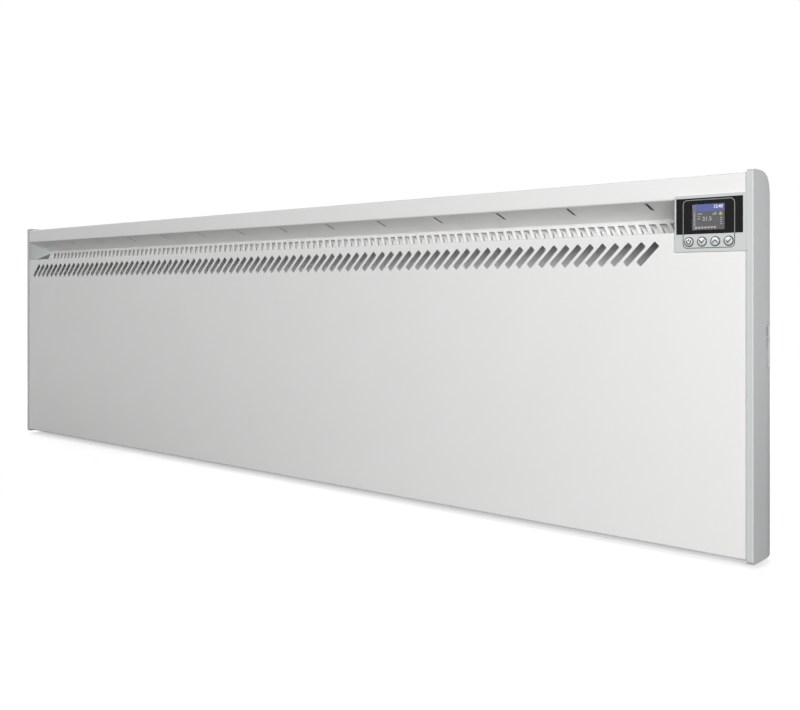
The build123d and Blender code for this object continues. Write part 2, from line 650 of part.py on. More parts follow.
def rear_screw_places():
    """(x, z) of every screw that goes through the rear panel from behind."""
    places = [(s * cap_screw_x(), z) for s in (-1, 1) for z in CAP_BOSS_HEIGHTS]
    places += [(housing_screw_x(), z) for z in HOUSING_SCREW_HEIGHTS]
    places += element_bracket_screw_places() + power_board_places() + shield_standoff_places()
    places += [(PARTITION_X + PARTITION_FLANGE / 2, z) for z in partition_screw_heights()]
    return places


def rear_panel():
    lap = FRONT_SHEET + SHEET_FIT
    points = [
        (CASING_DEPTH - REAR_BOTTOM_FLANGE, BOTTOM_Z + lap), (CASING_DEPTH, BOTTOM_Z + lap),
        (CASING_DEPTH, TOP_Z - lap), (CASING_DEPTH - REAR_TOP_FLANGE, TOP_Z - lap),
    ]
    end = RIGHT_X - REAR_PANEL_SHORT
    sheet = bent_sheet(points, [REAR_BOTTOM_BEND, REAR_TOP_BEND], REAR_SHEET, -end, end)
    holes = [
        drill(SCREW_CLEARANCE_RADIUS, (x, CASING_DEPTH, z), (0, -1, 0), REAR_SHEET)
        for x, z in rear_screw_places()
    ]
    return sheet.cut(
        gland_hole(), *hook_slots(), *holes, *flange_holes(PILOT_RADIUS), *rivet_holes(),
    )


# ---------------------------------------------------------------- end caps
def corner_cutter(depth, z, radius, back, up):
    """Rounds the cap's corner at depth and z; back and up are the signs of its way out."""
    x = (RIGHT_X - CAP_WIDEST, RIGHT_X + 2 * CAP_WIDEST)
    middle_depth, middle_z = depth - back * radius, z - up * radius
    past_depth, past_z = depth + back, z + up
    square = block(x, sorted((middle_depth, past_depth)), sorted((middle_z, past_z)))
    return square - drill(radius, (x[0], middle_depth, middle_z), (1, 0, 0), x[1] - x[0])


def cap_body():
    """Outside of the right cap: a plan outline run up its height, with its corners rounded."""
    x, wide_x = RIGHT_X, RIGHT_X + CAP_WIDEST
    front, rear = at_depth(-CAP_PROUD), at_depth(CASING_DEPTH)
    strip_end = (x + CAP_STRIP, front)
    corner = (x + CAP_STRIP + CAP_EDGE_OUT, front + CAP_EDGE_BACK)
    front_curve = (wide_x - CAP_FRONT_CURVE_IN, at_depth(CAP_WIDEST_DEPTH * CAP_FRONT_CURVE_SHARE))
    widest = (wide_x, at_depth(CAP_WIDEST_DEPTH))
    rear_curve = (wide_x - CAP_REAR_CURVE_IN, at_depth(CAP_WIDEST_DEPTH + CAP_REAR_CURVE_BACK))
    shoulder = (wide_x - CAP_SHOULDER_IN, rear - CAP_SHOULDER_AHEAD)
    rear_corner = (wide_x - CAP_REAR_CORNER_IN, rear - CAP_REAR_CORNER_AHEAD)
    rear_flat = (wide_x - CAP_REAR_FLAT_IN, rear)
    plan = make_face([
        Line((x, front), strip_end),
        TangentArc(strip_end, corner, tangent=(1, 0)),
        ThreePointArc(corner, front_curve, widest),
        ThreePointArc(widest, rear_curve, shoulder),
        ThreePointArc(shoulder, rear_corner, rear_flat),
        Polyline(rear_flat, (x, rear), (x, front)),
    ])
    top, bottom = TOP_Z + CAP_OVER, BOTTOM_Z - CAP_OVER
    body = extrude(Plane.XY.offset(bottom) * plan, top - bottom)
    return body.cut(
        corner_cutter(CASING_DEPTH, top, CAP_TOP_REAR_RADIUS, 1, 1),
        corner_cutter(-CAP_PROUD, top, CAP_FRONT_RADIUS, -1, 1),
        corner_cutter(-CAP_PROUD, bottom, CAP_FRONT_RADIUS, -1, -1),
    )


def cap_pocket():
    """Space in the cap that takes the ends of the two sheets."""
    low_y, high_y = at_depth(-CAP_FIT), at_depth(CASING_DEPTH - CAP_REAR_WALL)
    low_z, high_z = BOTTOM_Z - CAP_FIT, TOP_Z + CAP_FIT
    radius = CAP_TOP_REAR_RADIUS - CAP_REAR_WALL
    outline = make_face(FilletPolyline(
        (low_y, low_z), (low_y, high_z), (high_y, high_z), (high_y, low_z),
        radius=[CAP_POCKET_RADIUS, CAP_POCKET_RADIUS, radius, CAP_POCKET_RADIUS], close=True,
    ))
    return extrude(Plane.YZ.offset(RIGHT_X - PAST) * outline, CAP_GRIP + CAP_FIT + PAST)


def cap_bosses():
    back = REAR_INNER_DEPTH - SEAT_GAP
    bosses = []
    for z in CAP_BOSS_HEIGHTS:
        boss = block((CAP_FLOOR_X - CAP_BOSS_REACH, CAP_FLOOR_X + CAP_BOSS_ROOT),
                     (back - CAP_BOSS_LENGTH, back), (z - CAP_BOSS / 2, z + CAP_BOSS / 2))
        bosses.append(boss - drill(PILOT_RADIUS, (cap_screw_x(), back, z), (0, -1, 0), CAP_SCREW))
    return bosses


def hollow_outline():
    """Beside the rear half of the trough's floor, seen from the side."""
    return make_face(Polyline(
        (at_depth(CAP_HOLLOW_FRONT), TROUGH_BOTTOM), (at_depth(TROUGH_FLOOR), TROUGH_BOTTOM),
        (at_depth(TROUGH_DEPTH), TROUGH_BACK_BOTTOM), close=True,
    ))


def cap_hollow():
    """Hollow in the cap's inner wall."""
    return extrude(Plane.YZ.offset(CAP_FLOOR_X - PAST) * hollow_outline(), CAP_HOLLOW + PAST)


def trough_seal():
    """Rubber pad that fills the hollow in the left cap, flush with the wall round it."""
    outline = offset(hollow_outline(), -SEAL_FIT)
    return mirrored(extrude(Plane.YZ.offset(CAP_FLOOR_X) * outline, CAP_HOLLOW))


def plain_cap():
    return (cap_body() - cap_pocket() - cap_hollow()).fuse(*cap_bosses())


def switch_cutout():
    half = SWITCH_WIDTH / 2 - SWITCH_FLANGE + SWITCH_FIT
    return block((RIGHT_X - PAST, RIGHT_X + CAP_WIDEST + PAST), (SWITCH_DEPTH - half, SWITCH_DEPTH + half),
                 (SWITCH_BOTTOM + SWITCH_FLANGE - SWITCH_FIT, SWITCH_TOP - SWITCH_FLANGE + SWITCH_FIT))


def switch_recess():
    half = SWITCH_WIDTH / 2 + SWITCH_FIT
    return block((SWITCH_FACE_X - SWITCH_FLANGE, RIGHT_X + CAP_WIDEST + PAST),
                 (SWITCH_DEPTH - half, SWITCH_DEPTH + half),
                 (SWITCH_BOTTOM - SWITCH_FIT, SWITCH_TOP + SWITCH_FIT))


def right_end_cap():
    return plain_cap() - switch_cutout() - switch_recess()


# ---------------------------------------------------------------- mains switch
def rocker_middle():
    return (SWITCH_BOTTOM + SWITCH_FLANGE + ROCKER_TOP) / 2


def rocker_axis_x():
    return SWITCH_FACE_X - ROCKER_AXLE_SUNK


def power_switch_body():
    half = SWITCH_WIDTH / 2
    inner = half - SWITCH_FLANGE
    face = SWITCH_FACE_X
    flange = block((face - SWITCH_FLANGE, face), (SWITCH_DEPTH - half, SWITCH_DEPTH + half),
                   (SWITCH_BOTTOM, SWITCH_TOP))
    body = block((face - SWITCH_BODY_REACH, face - SWITCH_FLANGE),
                 (SWITCH_DEPTH - inner, SWITCH_DEPTH + inner),
                 (SWITCH_BOTTOM + SWITCH_FLANGE, SWITCH_TOP - SWITCH_FLANGE))
    hollow = inner - SWITCH_WALL
    well = block((face - SWITCH_BODY_REACH + SWITCH_BASE, face + PAST),
                 (SWITCH_DEPTH - hollow, SWITCH_DEPTH + hollow),
                 (SWITCH_BOTTOM + SWITCH_FLANGE + SWITCH_WALL, ROCKER_TOP - SWITCH_WALL))
    lens_well = block((face - LENS_DEEP, face + PAST), (SWITCH_DEPTH - hollow, SWITCH_DEPTH + hollow),
                      (ROCKER_TOP + SWITCH_WALL, SWITCH_TOP - SWITCH_FLANGE - SWITCH_WALL))
    axle_hole = drill(ROCKER_AXLE_RADIUS + ROCKER_AXLE_FIT,
                      (rocker_axis_x(), SWITCH_DEPTH - inner, rocker_middle()), (0, 1, 0), 2 * inner)
    length, thick, wide = SWITCH_TAG
    back = face - SWITCH_BODY_REACH
    tags = [
        block((back - length, back), (SWITCH_DEPTH - thick / 2, SWITCH_DEPTH + thick / 2),
              (z - wide / 2, z + wide / 2))
        for z in SWITCH_TAG_HEIGHTS
    ]
    return (flange + body - well - lens_well - axle_hole).fuse(*tags)


def power_switch_rocker():
    """Rocker with a shallow V on its face; it rests tilted by half its travel either way."""
    half = SWITCH_WIDTH / 2 - SWITCH_FLANGE - SWITCH_WALL - ROCKER_FIT
    low = SWITCH_BOTTOM + SWITCH_FLANGE + SWITCH_WALL + ROCKER_FIT
    high = ROCKER_TOP - SWITCH_WALL - ROCKER_FIT
    middle = rocker_middle()
    face = SWITCH_FACE_X
    root_x = rocker_axis_x() - ROCKER_ROOT
    sunk = math.tan(math.radians(ROCKER_TILT)) * (high - middle)
    top, bottom = high - ROCKER_INSET, low + ROCKER_INSET
    outline = make_face(Polyline(
        (face - ROCKER_DIP, middle), (face + ROCKER_PROUD, top), (face - ROCKER_SIDE, top),
        (root_x, middle + ROCKER_ROOT), (root_x, middle - ROCKER_ROOT),
        (face - ROCKER_SIDE - sunk / 3, bottom), (face + ROCKER_PROUD - sunk, bottom), close=True,
    ))
    body = extrude(Plane(origin=(0, at_depth(SWITCH_DEPTH), 0), x_dir=(1, 0, 0), z_dir=(0, -1, 0)) * outline,
                   half, both=True)
    inner = SWITCH_WIDTH / 2 - SWITCH_FLANGE
    axle = rod(ROCKER_AXLE_RADIUS, (rocker_axis_x(), SWITCH_DEPTH - inner + SWITCH_FIT, middle), (0, 1, 0),
               2 * (inner - SWITCH_FIT))
    return body + axle


def power_indicator_lens():
    half = SWITCH_WIDTH / 2 - SWITCH_FLANGE - SWITCH_WALL - LENS_FIT
    face = SWITCH_FACE_X
    lens = block((face - LENS_DEEP, face + LENS_PROUD), (SWITCH_DEPTH - half, SWITCH_DEPTH + half),
                 (ROCKER_TOP + SWITCH_WALL + LENS_FIT, SWITCH_TOP - SWITCH_FLANGE - SWITCH_WALL - LENS_FIT))
    return fillet(lens.edges().group_by(Axis.X)[-1], LENS_ROUND)


# ---------------------------------------------------------------- control housing
def bezel_span():
    return (BEZEL_LEFT_X, RIGHT_X - BEZEL_RIGHT_GAP)


def button_places():
    xs = spread(BUTTON_ROW_X - BUTTON_HALF_ROW, BUTTON_ROW_X + BUTTON_HALF_ROW, len(BUTTONS))
    return dict(zip(BUTTONS, xs))


def board_screw_places():
    """Two between the buttons and two in the upper corners."""
    xs = list(button_places().values())
    low = HOUSING_BOTTOM + HOUSING_WALL + BOARD_SCREW_LOW
    high = HOUSING_TOP - HOUSING_WALL - BOARD_SCREW_HIGH
    return [
        ((xs[0] + xs[1]) / 2, low), ((xs[2] + xs[3]) / 2, low),
        (HOUSING_WALL_X + HOUSING_WALL + BOARD_SCREW_LEFT, high), (RIGHT_X - BOARD_SCREW_RIGHT, high),
    ]


def window_opening():
    """The window recess in x and z."""
    return (BEZEL_LEFT_X + WINDOW_SIDE, RIGHT_X - WINDOW_RIGHT), (WINDOW_BOTTOM, WINDOW_TOP)


def display_span():
    return (RIGHT_X - DISPLAY_LEFT, RIGHT_X - DISPLAY_RIGHT)


def control_housing():
    left, right = bezel_span()
    wall_x = HOUSING_WALL_X
    inner_right = RIGHT_X + CAP_GRIP - HOUSING_TONGUE_SHORT
    front, back = -CAP_PROUD, HOUSING_BACK
    seat = REAR_INNER_DEPTH - SEAT_GAP
    height = (HOUSING_BOTTOM, HOUSING_TOP)
    rim = block((left, right), (front, -SHEET_FIT), (BEZEL_BOTTOM, BEZEL_TOP))
    rim = fillet(rim.edges().filter_by(Axis.Y).group_by(Axis.X)[0], BEZEL_CORNER)
    body = block((wall_x, right), (front, back), height)
    tongue = block((right - HOUSING_WALL, inner_right), (HOUSING_TONGUE_DEPTH, back), height)
    side = block((wall_x, wall_x + HOUSING_WALL), (front, seat), height)
    shelf = (HOUSING_TONGUE_DEPTH, BOARD_DEPTH - 2 * SEAT_GAP)
    floor = block((wall_x, inner_right), shelf, (HOUSING_BOTTOM, HOUSING_BOTTOM + HOUSING_WALL))
    roof = block((wall_x, inner_right), shelf, (HOUSING_TOP - HOUSING_WALL, HOUSING_TOP))
    foot = block((wall_x, wall_x + HOUSING_FOOT + HOUSING_WALL), (seat - HOUSING_FOOT_THICK, seat),
                 (HOUSING_BOTTOM, HOUSING_SCREW_HEIGHTS[1] + HOUSING_FOOT_THICK))
    bosses = [rod(HOUSING_BOSS_RADIUS, (x, back - SEAT_GAP, z), (0, 1, 0), BOARD_DEPTH - back)
              for x, z in board_screw_places()]
    corner = HOUSING_REAR_CORNER
    cuts = [block((wall_x - PAST, wall_x + HOUSING_FOOT + HOUSING_WALL + PAST),
                  (REAR_INNER_DEPTH - corner, CASING_DEPTH), (HOUSING_TOP - corner, TOP_Z))]
    cuts += [drill(PILOT_RADIUS, (housing_screw_x(), seat, z), (0, -1, 0), HOUSING_FOOT_THICK - PAST)
             for z in HOUSING_SCREW_HEIGHTS]
    cuts += [drill(PILOT_RADIUS, (x, BOARD_DEPTH - SEAT_GAP, z), (0, -1, 0), SHEET_SCREW)
             for x, z in board_screw_places()]
    cuts += [drill(BUTTON_RADIUS + BUTTON_FIT, (x, front, BUTTON_HEIGHT), (0, 1, 0), HOUSING_FRONT)
             for x in button_places().values()]
    window_x, window_z = window_opening()
    cuts.append(block(window_x, (front - PAST, front + WINDOW_THICK + WINDOW_SUNK), window_z))
    low, high = display_span()
    around = DISPLAY_CLEARANCE
    cuts.append(block((low - around, high + around), (front, back + PAST),
                      (DISPLAY_BOTTOM - around, DISPLAY_TOP + around)))
    return rim.fuse(body, tongue, side, floor, roof, foot, *bosses).cut(*cuts)


def display_window():
    (left, right), (low, high) = window_opening()
    front = -CAP_PROUD + WINDOW_SUNK
    return block((left + WINDOW_FIT, right - WINDOW_FIT), (front, front + WINDOW_THICK),
                 (low + WINDOW_FIT, high - WINDOW_FIT))


def display_module():
    low, high = display_span()
    back = HOUSING_BACK
    frame = block((low - DISPLAY_BORDER, high + DISPLAY_BORDER), (back + SEAT_GAP, BOARD_DEPTH - SEAT_GAP),
                  (DISPLAY_BOTTOM - DISPLAY_BORDER, DISPLAY_TOP + DISPLAY_BORDER))
    screen = block((low, high), (back - DISPLAY_INTO_HOUSING, back + 2 * SEAT_GAP),
                   (DISPLAY_BOTTOM, DISPLAY_TOP))
    return frame + screen


def control_board():
    left = HOUSING_WALL_X + HOUSING_WALL + BOARD_MARGIN
    board = block((left, RIGHT_X - BOARD_MARGIN), (BOARD_DEPTH, BOARD_DEPTH + BOARD_THICK),
                  (HOUSING_BOTTOM + BOARD_MARGIN, HOUSING_TOP - BOARD_MARGIN))
    wide, deep, high = CONNECTOR_SIZE
    x, z = left + CONNECTOR_RIGHT, BUTTON_HEIGHT + CONNECTOR_ABOVE_BUTTONS
    back = BOARD_DEPTH + BOARD_THICK
    connector = block((x, x + wide), (back, back + deep), (z, z + high))
    holes = [drill(SCREW_CLEARANCE_RADIUS, (x, BOARD_DEPTH, z), (0, 1, 0), BOARD_THICK)
             for x, z in board_screw_places()]
    return (board + connector).cut(*holes)


def control_board_screws():
    return Compound(children=[
        screw((x, BOARD_DEPTH + BOARD_THICK, z), (0, -1, 0), BOARD_THICK + SHEET_SCREW)
        for x, z in board_screw_places()
    ])


def key_switches():
    half = KEY_SWITCH / 2
    switches = []
    for x in button_places().values():
        body = block((x - half, x + half), (BOARD_DEPTH - KEY_SWITCH_HEIGHT, BOARD_DEPTH),
                     (BUTTON_HEIGHT - half, BUTTON_HEIGHT + half))
        plunger = rod(BUTTON_STEM_RADIUS, (x, BOARD_DEPTH - KEY_SWITCH_HEIGHT, BUTTON_HEIGHT), (0, -1, 0),
                      KEY_PLUNGER)
        switches.append(body + plunger)
    return Compound(children=switches)


def push_button(x):
    face = -CAP_PROUD - BUTTON_PROUD
    flange_depth = HOUSING_BACK + SEAT_GAP
    stem_end = BOARD_DEPTH - KEY_SWITCH_HEIGHT - KEY_PLUNGER - BUTTON_TRAVEL - BUTTON_STEM_GAP
    cap = rod(BUTTON_RADIUS, (x, face, BUTTON_HEIGHT), (0, 1, 0), flange_depth - face)
    cap = fillet(cap.edges().group_by(Axis.Y)[0], BUTTON_ROUND)
    flange = rod(BUTTON_FLANGE_RADIUS, (x, flange_depth, BUTTON_HEIGHT), (0, 1, 0), BUTTON_FLANGE)
    stem = rod(BUTTON_STEM_RADIUS, (x, flange_depth, BUTTON_HEIGHT), (0, 1, 0), stem_end - flange_depth)
    return cap + flange + stem


def control_housing_screws():
    return Compound(children=[
        screw((housing_screw_x(), CASING_DEPTH, z), (0, -1, 0), HOUSING_SCREW) for z in HOUSING_SCREW_HEIGHTS
    ])


# ---------------------------------------------------------------- heating elements
def element_profile(z):
    fins = [Rectangle(FIN_SPAN, FIN_THICK, rotation=s * FIN_ANGLE) for s in (-1, 1)]
    upright = Rectangle(FIN_THICK, UPRIGHT_FIN_SPAN)
    section = (Circle(ELEMENT_TUBE_RADIUS) + fins[0] + fins[1] + upright) - Circle(ROD_RADIUS + ROD_FIT)
    plane = Plane(origin=(ELEMENT_LEFT, at_depth(ELEMENT_DEPTH), z), x_dir=(0, 1, 0), z_dir=(1, 0, 0))
    return extrude(plane * section, ELEMENT_RIGHT - ELEMENT_LEFT)


def element_rod(z):
    start, end = ELEMENT_LEFT - ROD_OVERHANG, ELEMENT_RIGHT + ROD_OVERHANG
    body = rod(ROD_RADIUS, (start, ELEMENT_DEPTH, z), (1, 0, 0), end - start)
    pin = rod(TERMINAL_RADIUS, (start - TERMINAL_LENGTH, ELEMENT_DEPTH, z), (1, 0, 0),
              end - start + 2 * TERMINAL_LENGTH)
    return body + pin


def element_bush(x, way, z):
    """Ceramic bush: its head lies against the bracket's outer side, its neck passes through."""
    head = rod(BUSH_HEAD_RADIUS, (x, ELEMENT_DEPTH, z), (way, 0, 0), BUSH_HEAD)
    neck = rod(BUSH_RADIUS, (x, ELEMENT_DEPTH, z), (-way, 0, 0), BUSH_LENGTH - BUSH_HEAD)
    bore = rod(ROD_RADIUS + ROD_FIT, (x - BUSH_LENGTH, ELEMENT_DEPTH, z), (1, 0, 0), 2 * BUSH_LENGTH)
    return head + neck - bore


def bracket_face_xs():
    """Outer face of each element bracket."""
    return (ELEMENT_LEFT - ELEMENT_END_GAP, ELEMENT_RIGHT + ELEMENT_END_GAP)


def element_bushes():
    left, right = bracket_face_xs()
    return Compound(children=[
        element_bush(x, way, z) for z in ELEMENT_HEIGHTS for x, way in ((left, -1), (right, 1))
    ])


def element_bracket(x, way):
    low, high = min(ELEMENT_HEIGHTS) - BRACKET_MARGIN, max(ELEMENT_HEIGHTS) + BRACKET_MARGIN
    back = REAR_INNER_DEPTH - SEAT_GAP
    inner = x - way * BRACKET_SHEET
    web = block((min(x, inner), max(x, inner)), (BRACKET_FRONT, back), (low, high))
    far = x + way * BRACKET_FLANGE
    flange = block((min(inner, far), max(inner, far)), (back - BRACKET_SHEET, back), (low, high))
    holes = [drill(BUSH_RADIUS + BUSH_FIT, (x, ELEMENT_DEPTH, z), (-way, 0, 0), BRACKET_SHEET)
             for z in ELEMENT_HEIGHTS]
    holes += [drill(PILOT_RADIUS, (sx, back, sz), (0, -1, 0), BRACKET_SHEET)
              for sx, sz in element_bracket_screw_places() if abs(sx - x) < BRACKET_FLANGE]
    return (web + flange).cut(*holes)


def element_bracket_screws():
    return Compound(children=[
        screw((x, CASING_DEPTH, z), (0, -1, 0), SHEET_SCREW) for x, z in element_bracket_screw_places()
    ])


def heat_shield():
    left, right = ELEMENT_LEFT + SHIELD_MARGIN, ELEMENT_RIGHT - SHIELD_MARGIN
    sheet = block((left, right), (SHIELD_DEPTH, SHIELD_DEPTH + REAR_SHEET), (SHIELD_BOTTOM, SHIELD_TOP))
    lip = block((left, right), (SHIELD_DEPTH - SHIELD_LIP, SHIELD_DEPTH + REAR_SHEET),
                (SHIELD_BOTTOM - REAR_SHEET, SHIELD_BOTTOM))
    holes = [drill(PILOT_RADIUS, (x, SHIELD_DEPTH, z), (0, 1, 0), REAR_SHEET)
             for x, z in shield_standoff_places()]
    return (sheet + lip).cut(*holes)


def shield_standoffs():
    front, back = SHIELD_DEPTH + REAR_SHEET, REAR_INNER_DEPTH
    return Compound(children=[
        rod(SHIELD_STANDOFF_RADIUS, (x, front, z), (0, 1, 0), back - front)
        - drill(SCREW_CLEARANCE_RADIUS, (x, front, z), (0, 1, 0), back - front)
        for x, z in shield_standoff_places()
    ])


def shield_screws():
    return Compound(children=[
        screw((x, CASING_DEPTH, z), (0, -1, 0), CASING_DEPTH - SHIELD_DEPTH + SHIELD_SCREW_PAST)
        for x, z in shield_standoff_places()
    ])


def thermal_cutout():
    """Disc thermostat in the shield's upper edge, on its own small ears."""
    z = SHIELD_TOP + CUTOUT_ABOVE_SHIELD
    plate_front = SHIELD_DEPTH - CUTOUT_PLATE_THICK
    disc_front = plate_front - CUTOUT_DISC
    half = CUTOUT_PLATE_WIDTH / 2
    plate = block((CUTOUT_X - half, CUTOUT_X + half), (plate_front, SHIELD_DEPTH),
                  (z - CUTOUT_PLATE_UNDER, z + CUTOUT_PLATE_OVER))
    disc = rod(CUTOUT_DISC_RADIUS, (CUTOUT_X, plate_front, z), (0, -1, 0), CUTOUT_DISC)
    thick, long, wide = CUTOUT_TAB
    tabs = [
        block((x - thick / 2, x + thick / 2), (disc_front - long, disc_front), (z - wide / 2, z + wide / 2))
        for x in (CUTOUT_X - CUTOUT_TAB_SPACING / 2, CUTOUT_X + CUTOUT_TAB_SPACING / 2)
    ]
    return (plate + disc).fuse(*tabs)


# ---------------------------------------------------------------- electronics chamber
def partition_screw_heights():
    return [BOTTOM_Z + z for z in PARTITION_SCREWS]


def chamber_partition():
    back = REAR_INNER_DEPTH - SEAT_GAP
    height = (BOTTOM_Z + PARTITION_FOOT, PARTITION_TOP)
    web = block((PARTITION_X, PARTITION_X + REAR_SHEET), (PARTITION_FRONT, back), height)
    flange = block((PARTITION_X, PARTITION_X + PARTITION_FLANGE), (back - REAR_SHEET, back), height)
    x = PARTITION_X + PARTITION_FLANGE / 2
    holes = [drill(PILOT_RADIUS, (x, back, z), (0, -1, 0), REAR_SHEET) for z in partition_screw_heights()]
    wires = drill(GROMMET_HOLE, (PARTITION_X, ELEMENT_DEPTH, GROMMET_HEIGHT), (1, 0, 0), REAR_SHEET)
    return (web + flange).cut(wires, *holes)


def wire_grommet():
    place = (ELEMENT_DEPTH, GROMMET_HEIGHT)
    left = PARTITION_X - SEAT_GAP
    groove = REAR_SHEET + 2 * SEAT_GAP
    neck = rod(GROMMET_GROOVE, (left, *place), (1, 0, 0), groove)
    lips = [rod(GROMMET_OUTER, (left, *place), (-1, 0, 0), GROMMET_LIP),
            rod(GROMMET_OUTER, (left + groove, *place), (1, 0, 0), GROMMET_LIP)]
    bore = drill(GROMMET_BORE, (left - GROMMET_LIP, *place), (1, 0, 0), groove + 2 * GROMMET_LIP)
    return neck.fuse(*lips) - bore


def partition_screws():
    x = PARTITION_X + PARTITION_FLANGE / 2
    return Compound(children=[
        screw((x, CASING_DEPTH, z), (0, -1, 0), SHEET_SCREW) for z in partition_screw_heights()
    ])


def power_board():
    board = block((POWER_BOARD_LEFT, POWER_BOARD_RIGHT), (POWER_BOARD_DEPTH, POWER_BOARD_DEPTH + BOARD_THICK),
                  (POWER_BOARD_BOTTOM, POWER_BOARD_TOP))
    return board.cut(*[drill(SCREW_CLEARANCE_RADIUS, (x, POWER_BOARD_DEPTH, z), (0, 1, 0), BOARD_THICK)
                       for x, z in power_board_places()])


def board_part(right, width, up, height, tall):
    """A component standing on the front of the power board, placed from its lower left corner."""
    x, z = POWER_BOARD_LEFT + right, POWER_BOARD_BOTTOM + up
    return block((x, x + width), (POWER_BOARD_DEPTH - tall, POWER_BOARD_DEPTH), (z, z + height))


def power_relay():
    return fillet(board_part(*RELAY).edges().group_by(Axis.Y)[0], RELAY_ROUND)


def mains_transformer():
    return board_part(*TRANSFORMER) + board_part(*TRANSFORMER_CORE)


def filter_capacitors():
    z = POWER_BOARD_BOTTOM + CAPACITORS_UP
    cans = [
        rod(CAPACITOR_RADIUS, (POWER_BOARD_LEFT + right, POWER_BOARD_DEPTH, z), (0, -1, 0), CAPACITOR_TALL)
        for right in CAPACITORS_RIGHT
    ]
    return Compound(children=cans + [board_part(*FILTER_BOX)])


def terminal_block():
    right, _, up, _, tall = TERMINALS
    face, bottom = POWER_BOARD_DEPTH - tall, POWER_BOARD_BOTTOM + up
    wide, deep, high = TERMINAL_MOUTH
    front = face + TERMINAL_MOUTH_DEPTH
    cuts = []
    for way in range(TERMINAL_WAYS):
        x = POWER_BOARD_LEFT + right + TERMINAL_FIRST + TERMINAL_PITCH * way
        cuts.append(drill(TERMINAL_SCREW_RADIUS, (x, face, bottom + TERMINAL_SCREW_UP), (0, 1, 0),
                          TERMINAL_SCREW_SUNK - PAST))
        cuts.append(block((x - wide / 2, x + wide / 2), (front, front + deep),
                          (bottom - PAST, bottom + high)))
    return board_part(*TERMINALS).cut(*cuts)


def board_standoffs():
    front, back = POWER_BOARD_DEPTH + BOARD_THICK, REAR_INNER_DEPTH
    return Compound(children=[
        rod(STANDOFF_RADIUS, (x, front, z), (0, 1, 0), back - front)
        - drill(PILOT_RADIUS, (x, front, z), (0, 1, 0), back - front)
        for x, z in power_board_places()
    ])


def power_board_screws():
    behind = [screw((x, CASING_DEPTH, z), (0, -1, 0), SHEET_SCREW) for x, z in power_board_places()]
    front = [screw((x, POWER_BOARD_DEPTH, z), (0, 1, 0), FLANGE_SCREW) for x, z in power_board_places()]
    return Compound(children=behind + front)


def room_sensor():
    bead = rod(SENSOR_RADIUS, (SENSOR_X, SENSOR_DEPTH, SENSOR_HEIGHT), (0, 0, 1), SENSOR_LENGTH)
    return fillet(bead.edges().group_by(Axis.Z)[0], SENSOR_TIP_ROUND)


def sensor_clip():
    """Spring clip on the partition that holds the sensor in the incoming air."""
    start = (SENSOR_X, SENSOR_DEPTH, SENSOR_HEIGHT + CLIP_UP)
    outer = SENSOR_RADIUS + CLIP_WALL
    height = (start[2], start[2] + CLIP_HEIGHT)
    grip = rod(outer, start, (0, 0, 1), CLIP_HEIGHT)
    bore = drill(SENSOR_RADIUS + CLIP_FIT, start, (0, 0, 1), CLIP_HEIGHT)
    mouth = block((SENSOR_X - CLIP_MOUTH / 2, SENSOR_X + CLIP_MOUTH / 2),
                  (SENSOR_DEPTH - outer - PAST, SENSOR_DEPTH), (height[0] - PAST, height[1] + PAST))
    wall = PARTITION_X + REAR_SHEET + SEAT_GAP
    arm = block((wall, SENSOR_X - SENSOR_RADIUS),
                (SENSOR_DEPTH - CLIP_ARM / 2, SENSOR_DEPTH + CLIP_ARM / 2), height)
    thick, deep, high = CLIP_FOOT
    middle = sum(height) / 2
    foot = block((wall, wall + thick), (SENSOR_DEPTH - deep / 2, SENSOR_DEPTH + deep / 2),
                 (middle - high / 2, middle + high / 2))
    return grip.fuse(arm, foot).cut(bore, mouth)


def cable_gland():
    place = (GLAND_X, GLAND_DEPTH)
    low = BOTTOM_Z - GLAND_SEAT
    head = rod(GLAND_HEAD_RADIUS, (*place, low), (0, 0, -1), GLAND_HEAD)
    head = fillet(head.edges().group_by(Axis.Z)[0], GLAND_HEAD_ROUND)
    sleeve = rod(GLAND_SLEEVE, (*place, low), (0, 0, 1), GLAND_INSIDE + GLAND_SEAT)
    bore = drill(GLAND_BORE, (*place, low - GLAND_HEAD), (0, 0, 1), GLAND_HEAD + GLAND_SEAT + GLAND_INSIDE)
    return head + sleeve - bore


def gland_nut():
    start = (GLAND_X, GLAND_DEPTH, BOTTOM_Z + LAP + GLAND_SEAT)
    plane = Plane(origin=(start[0], at_depth(start[1]), start[2]))
    nut = extrude(plane * RegularPolygon(GLAND_NUT_RADIUS, 6), GLAND_NUT)
    return nut - drill(GLAND_SLEEVE + GLAND_NUT_FIT, start, (0, 0, 1), GLAND_NUT)


# ---------------------------------------------------------------- casing fasteners
def end_cap_screws(side):
    return Compound(children=[
        screw((side * cap_screw_x(), CASING_DEPTH, z), (0, -1, 0), CAP_SCREW) for z in CAP_BOSS_HEIGHTS
    ])


def flange_screws():
    return Compound(children=[
        screw((x, FLANGE_SCREW_DEPTH, BOTTOM_Z), (0, 0, 1), FLANGE_SCREW) for x in flange_screw_places()
    ])


def top_rivets():
    rivets = []
    for x in flange_screw_places():
        shank = rod(RIVET_RADIUS, (x, RIVET_DEPTH, TOP_Z), (0, 0, -1), LAP)
        head = rod(RIVET_HEAD_RADIUS, (x, RIVET_DEPTH, TOP_Z), (0, 0, 1), RIVET_HEAD)
        head = fillet(head.edges().group_by(Axis.Z)[-1], RIVET_HEAD_ROUND)
        tail = rod(RIVET_TAIL_RADIUS, (x, RIVET_DEPTH, TOP_Z - LAP), (0, 0, -1), RIVET_TAIL)
        rivets.append(shank + head + tail)
    return Compound(children=rivets)


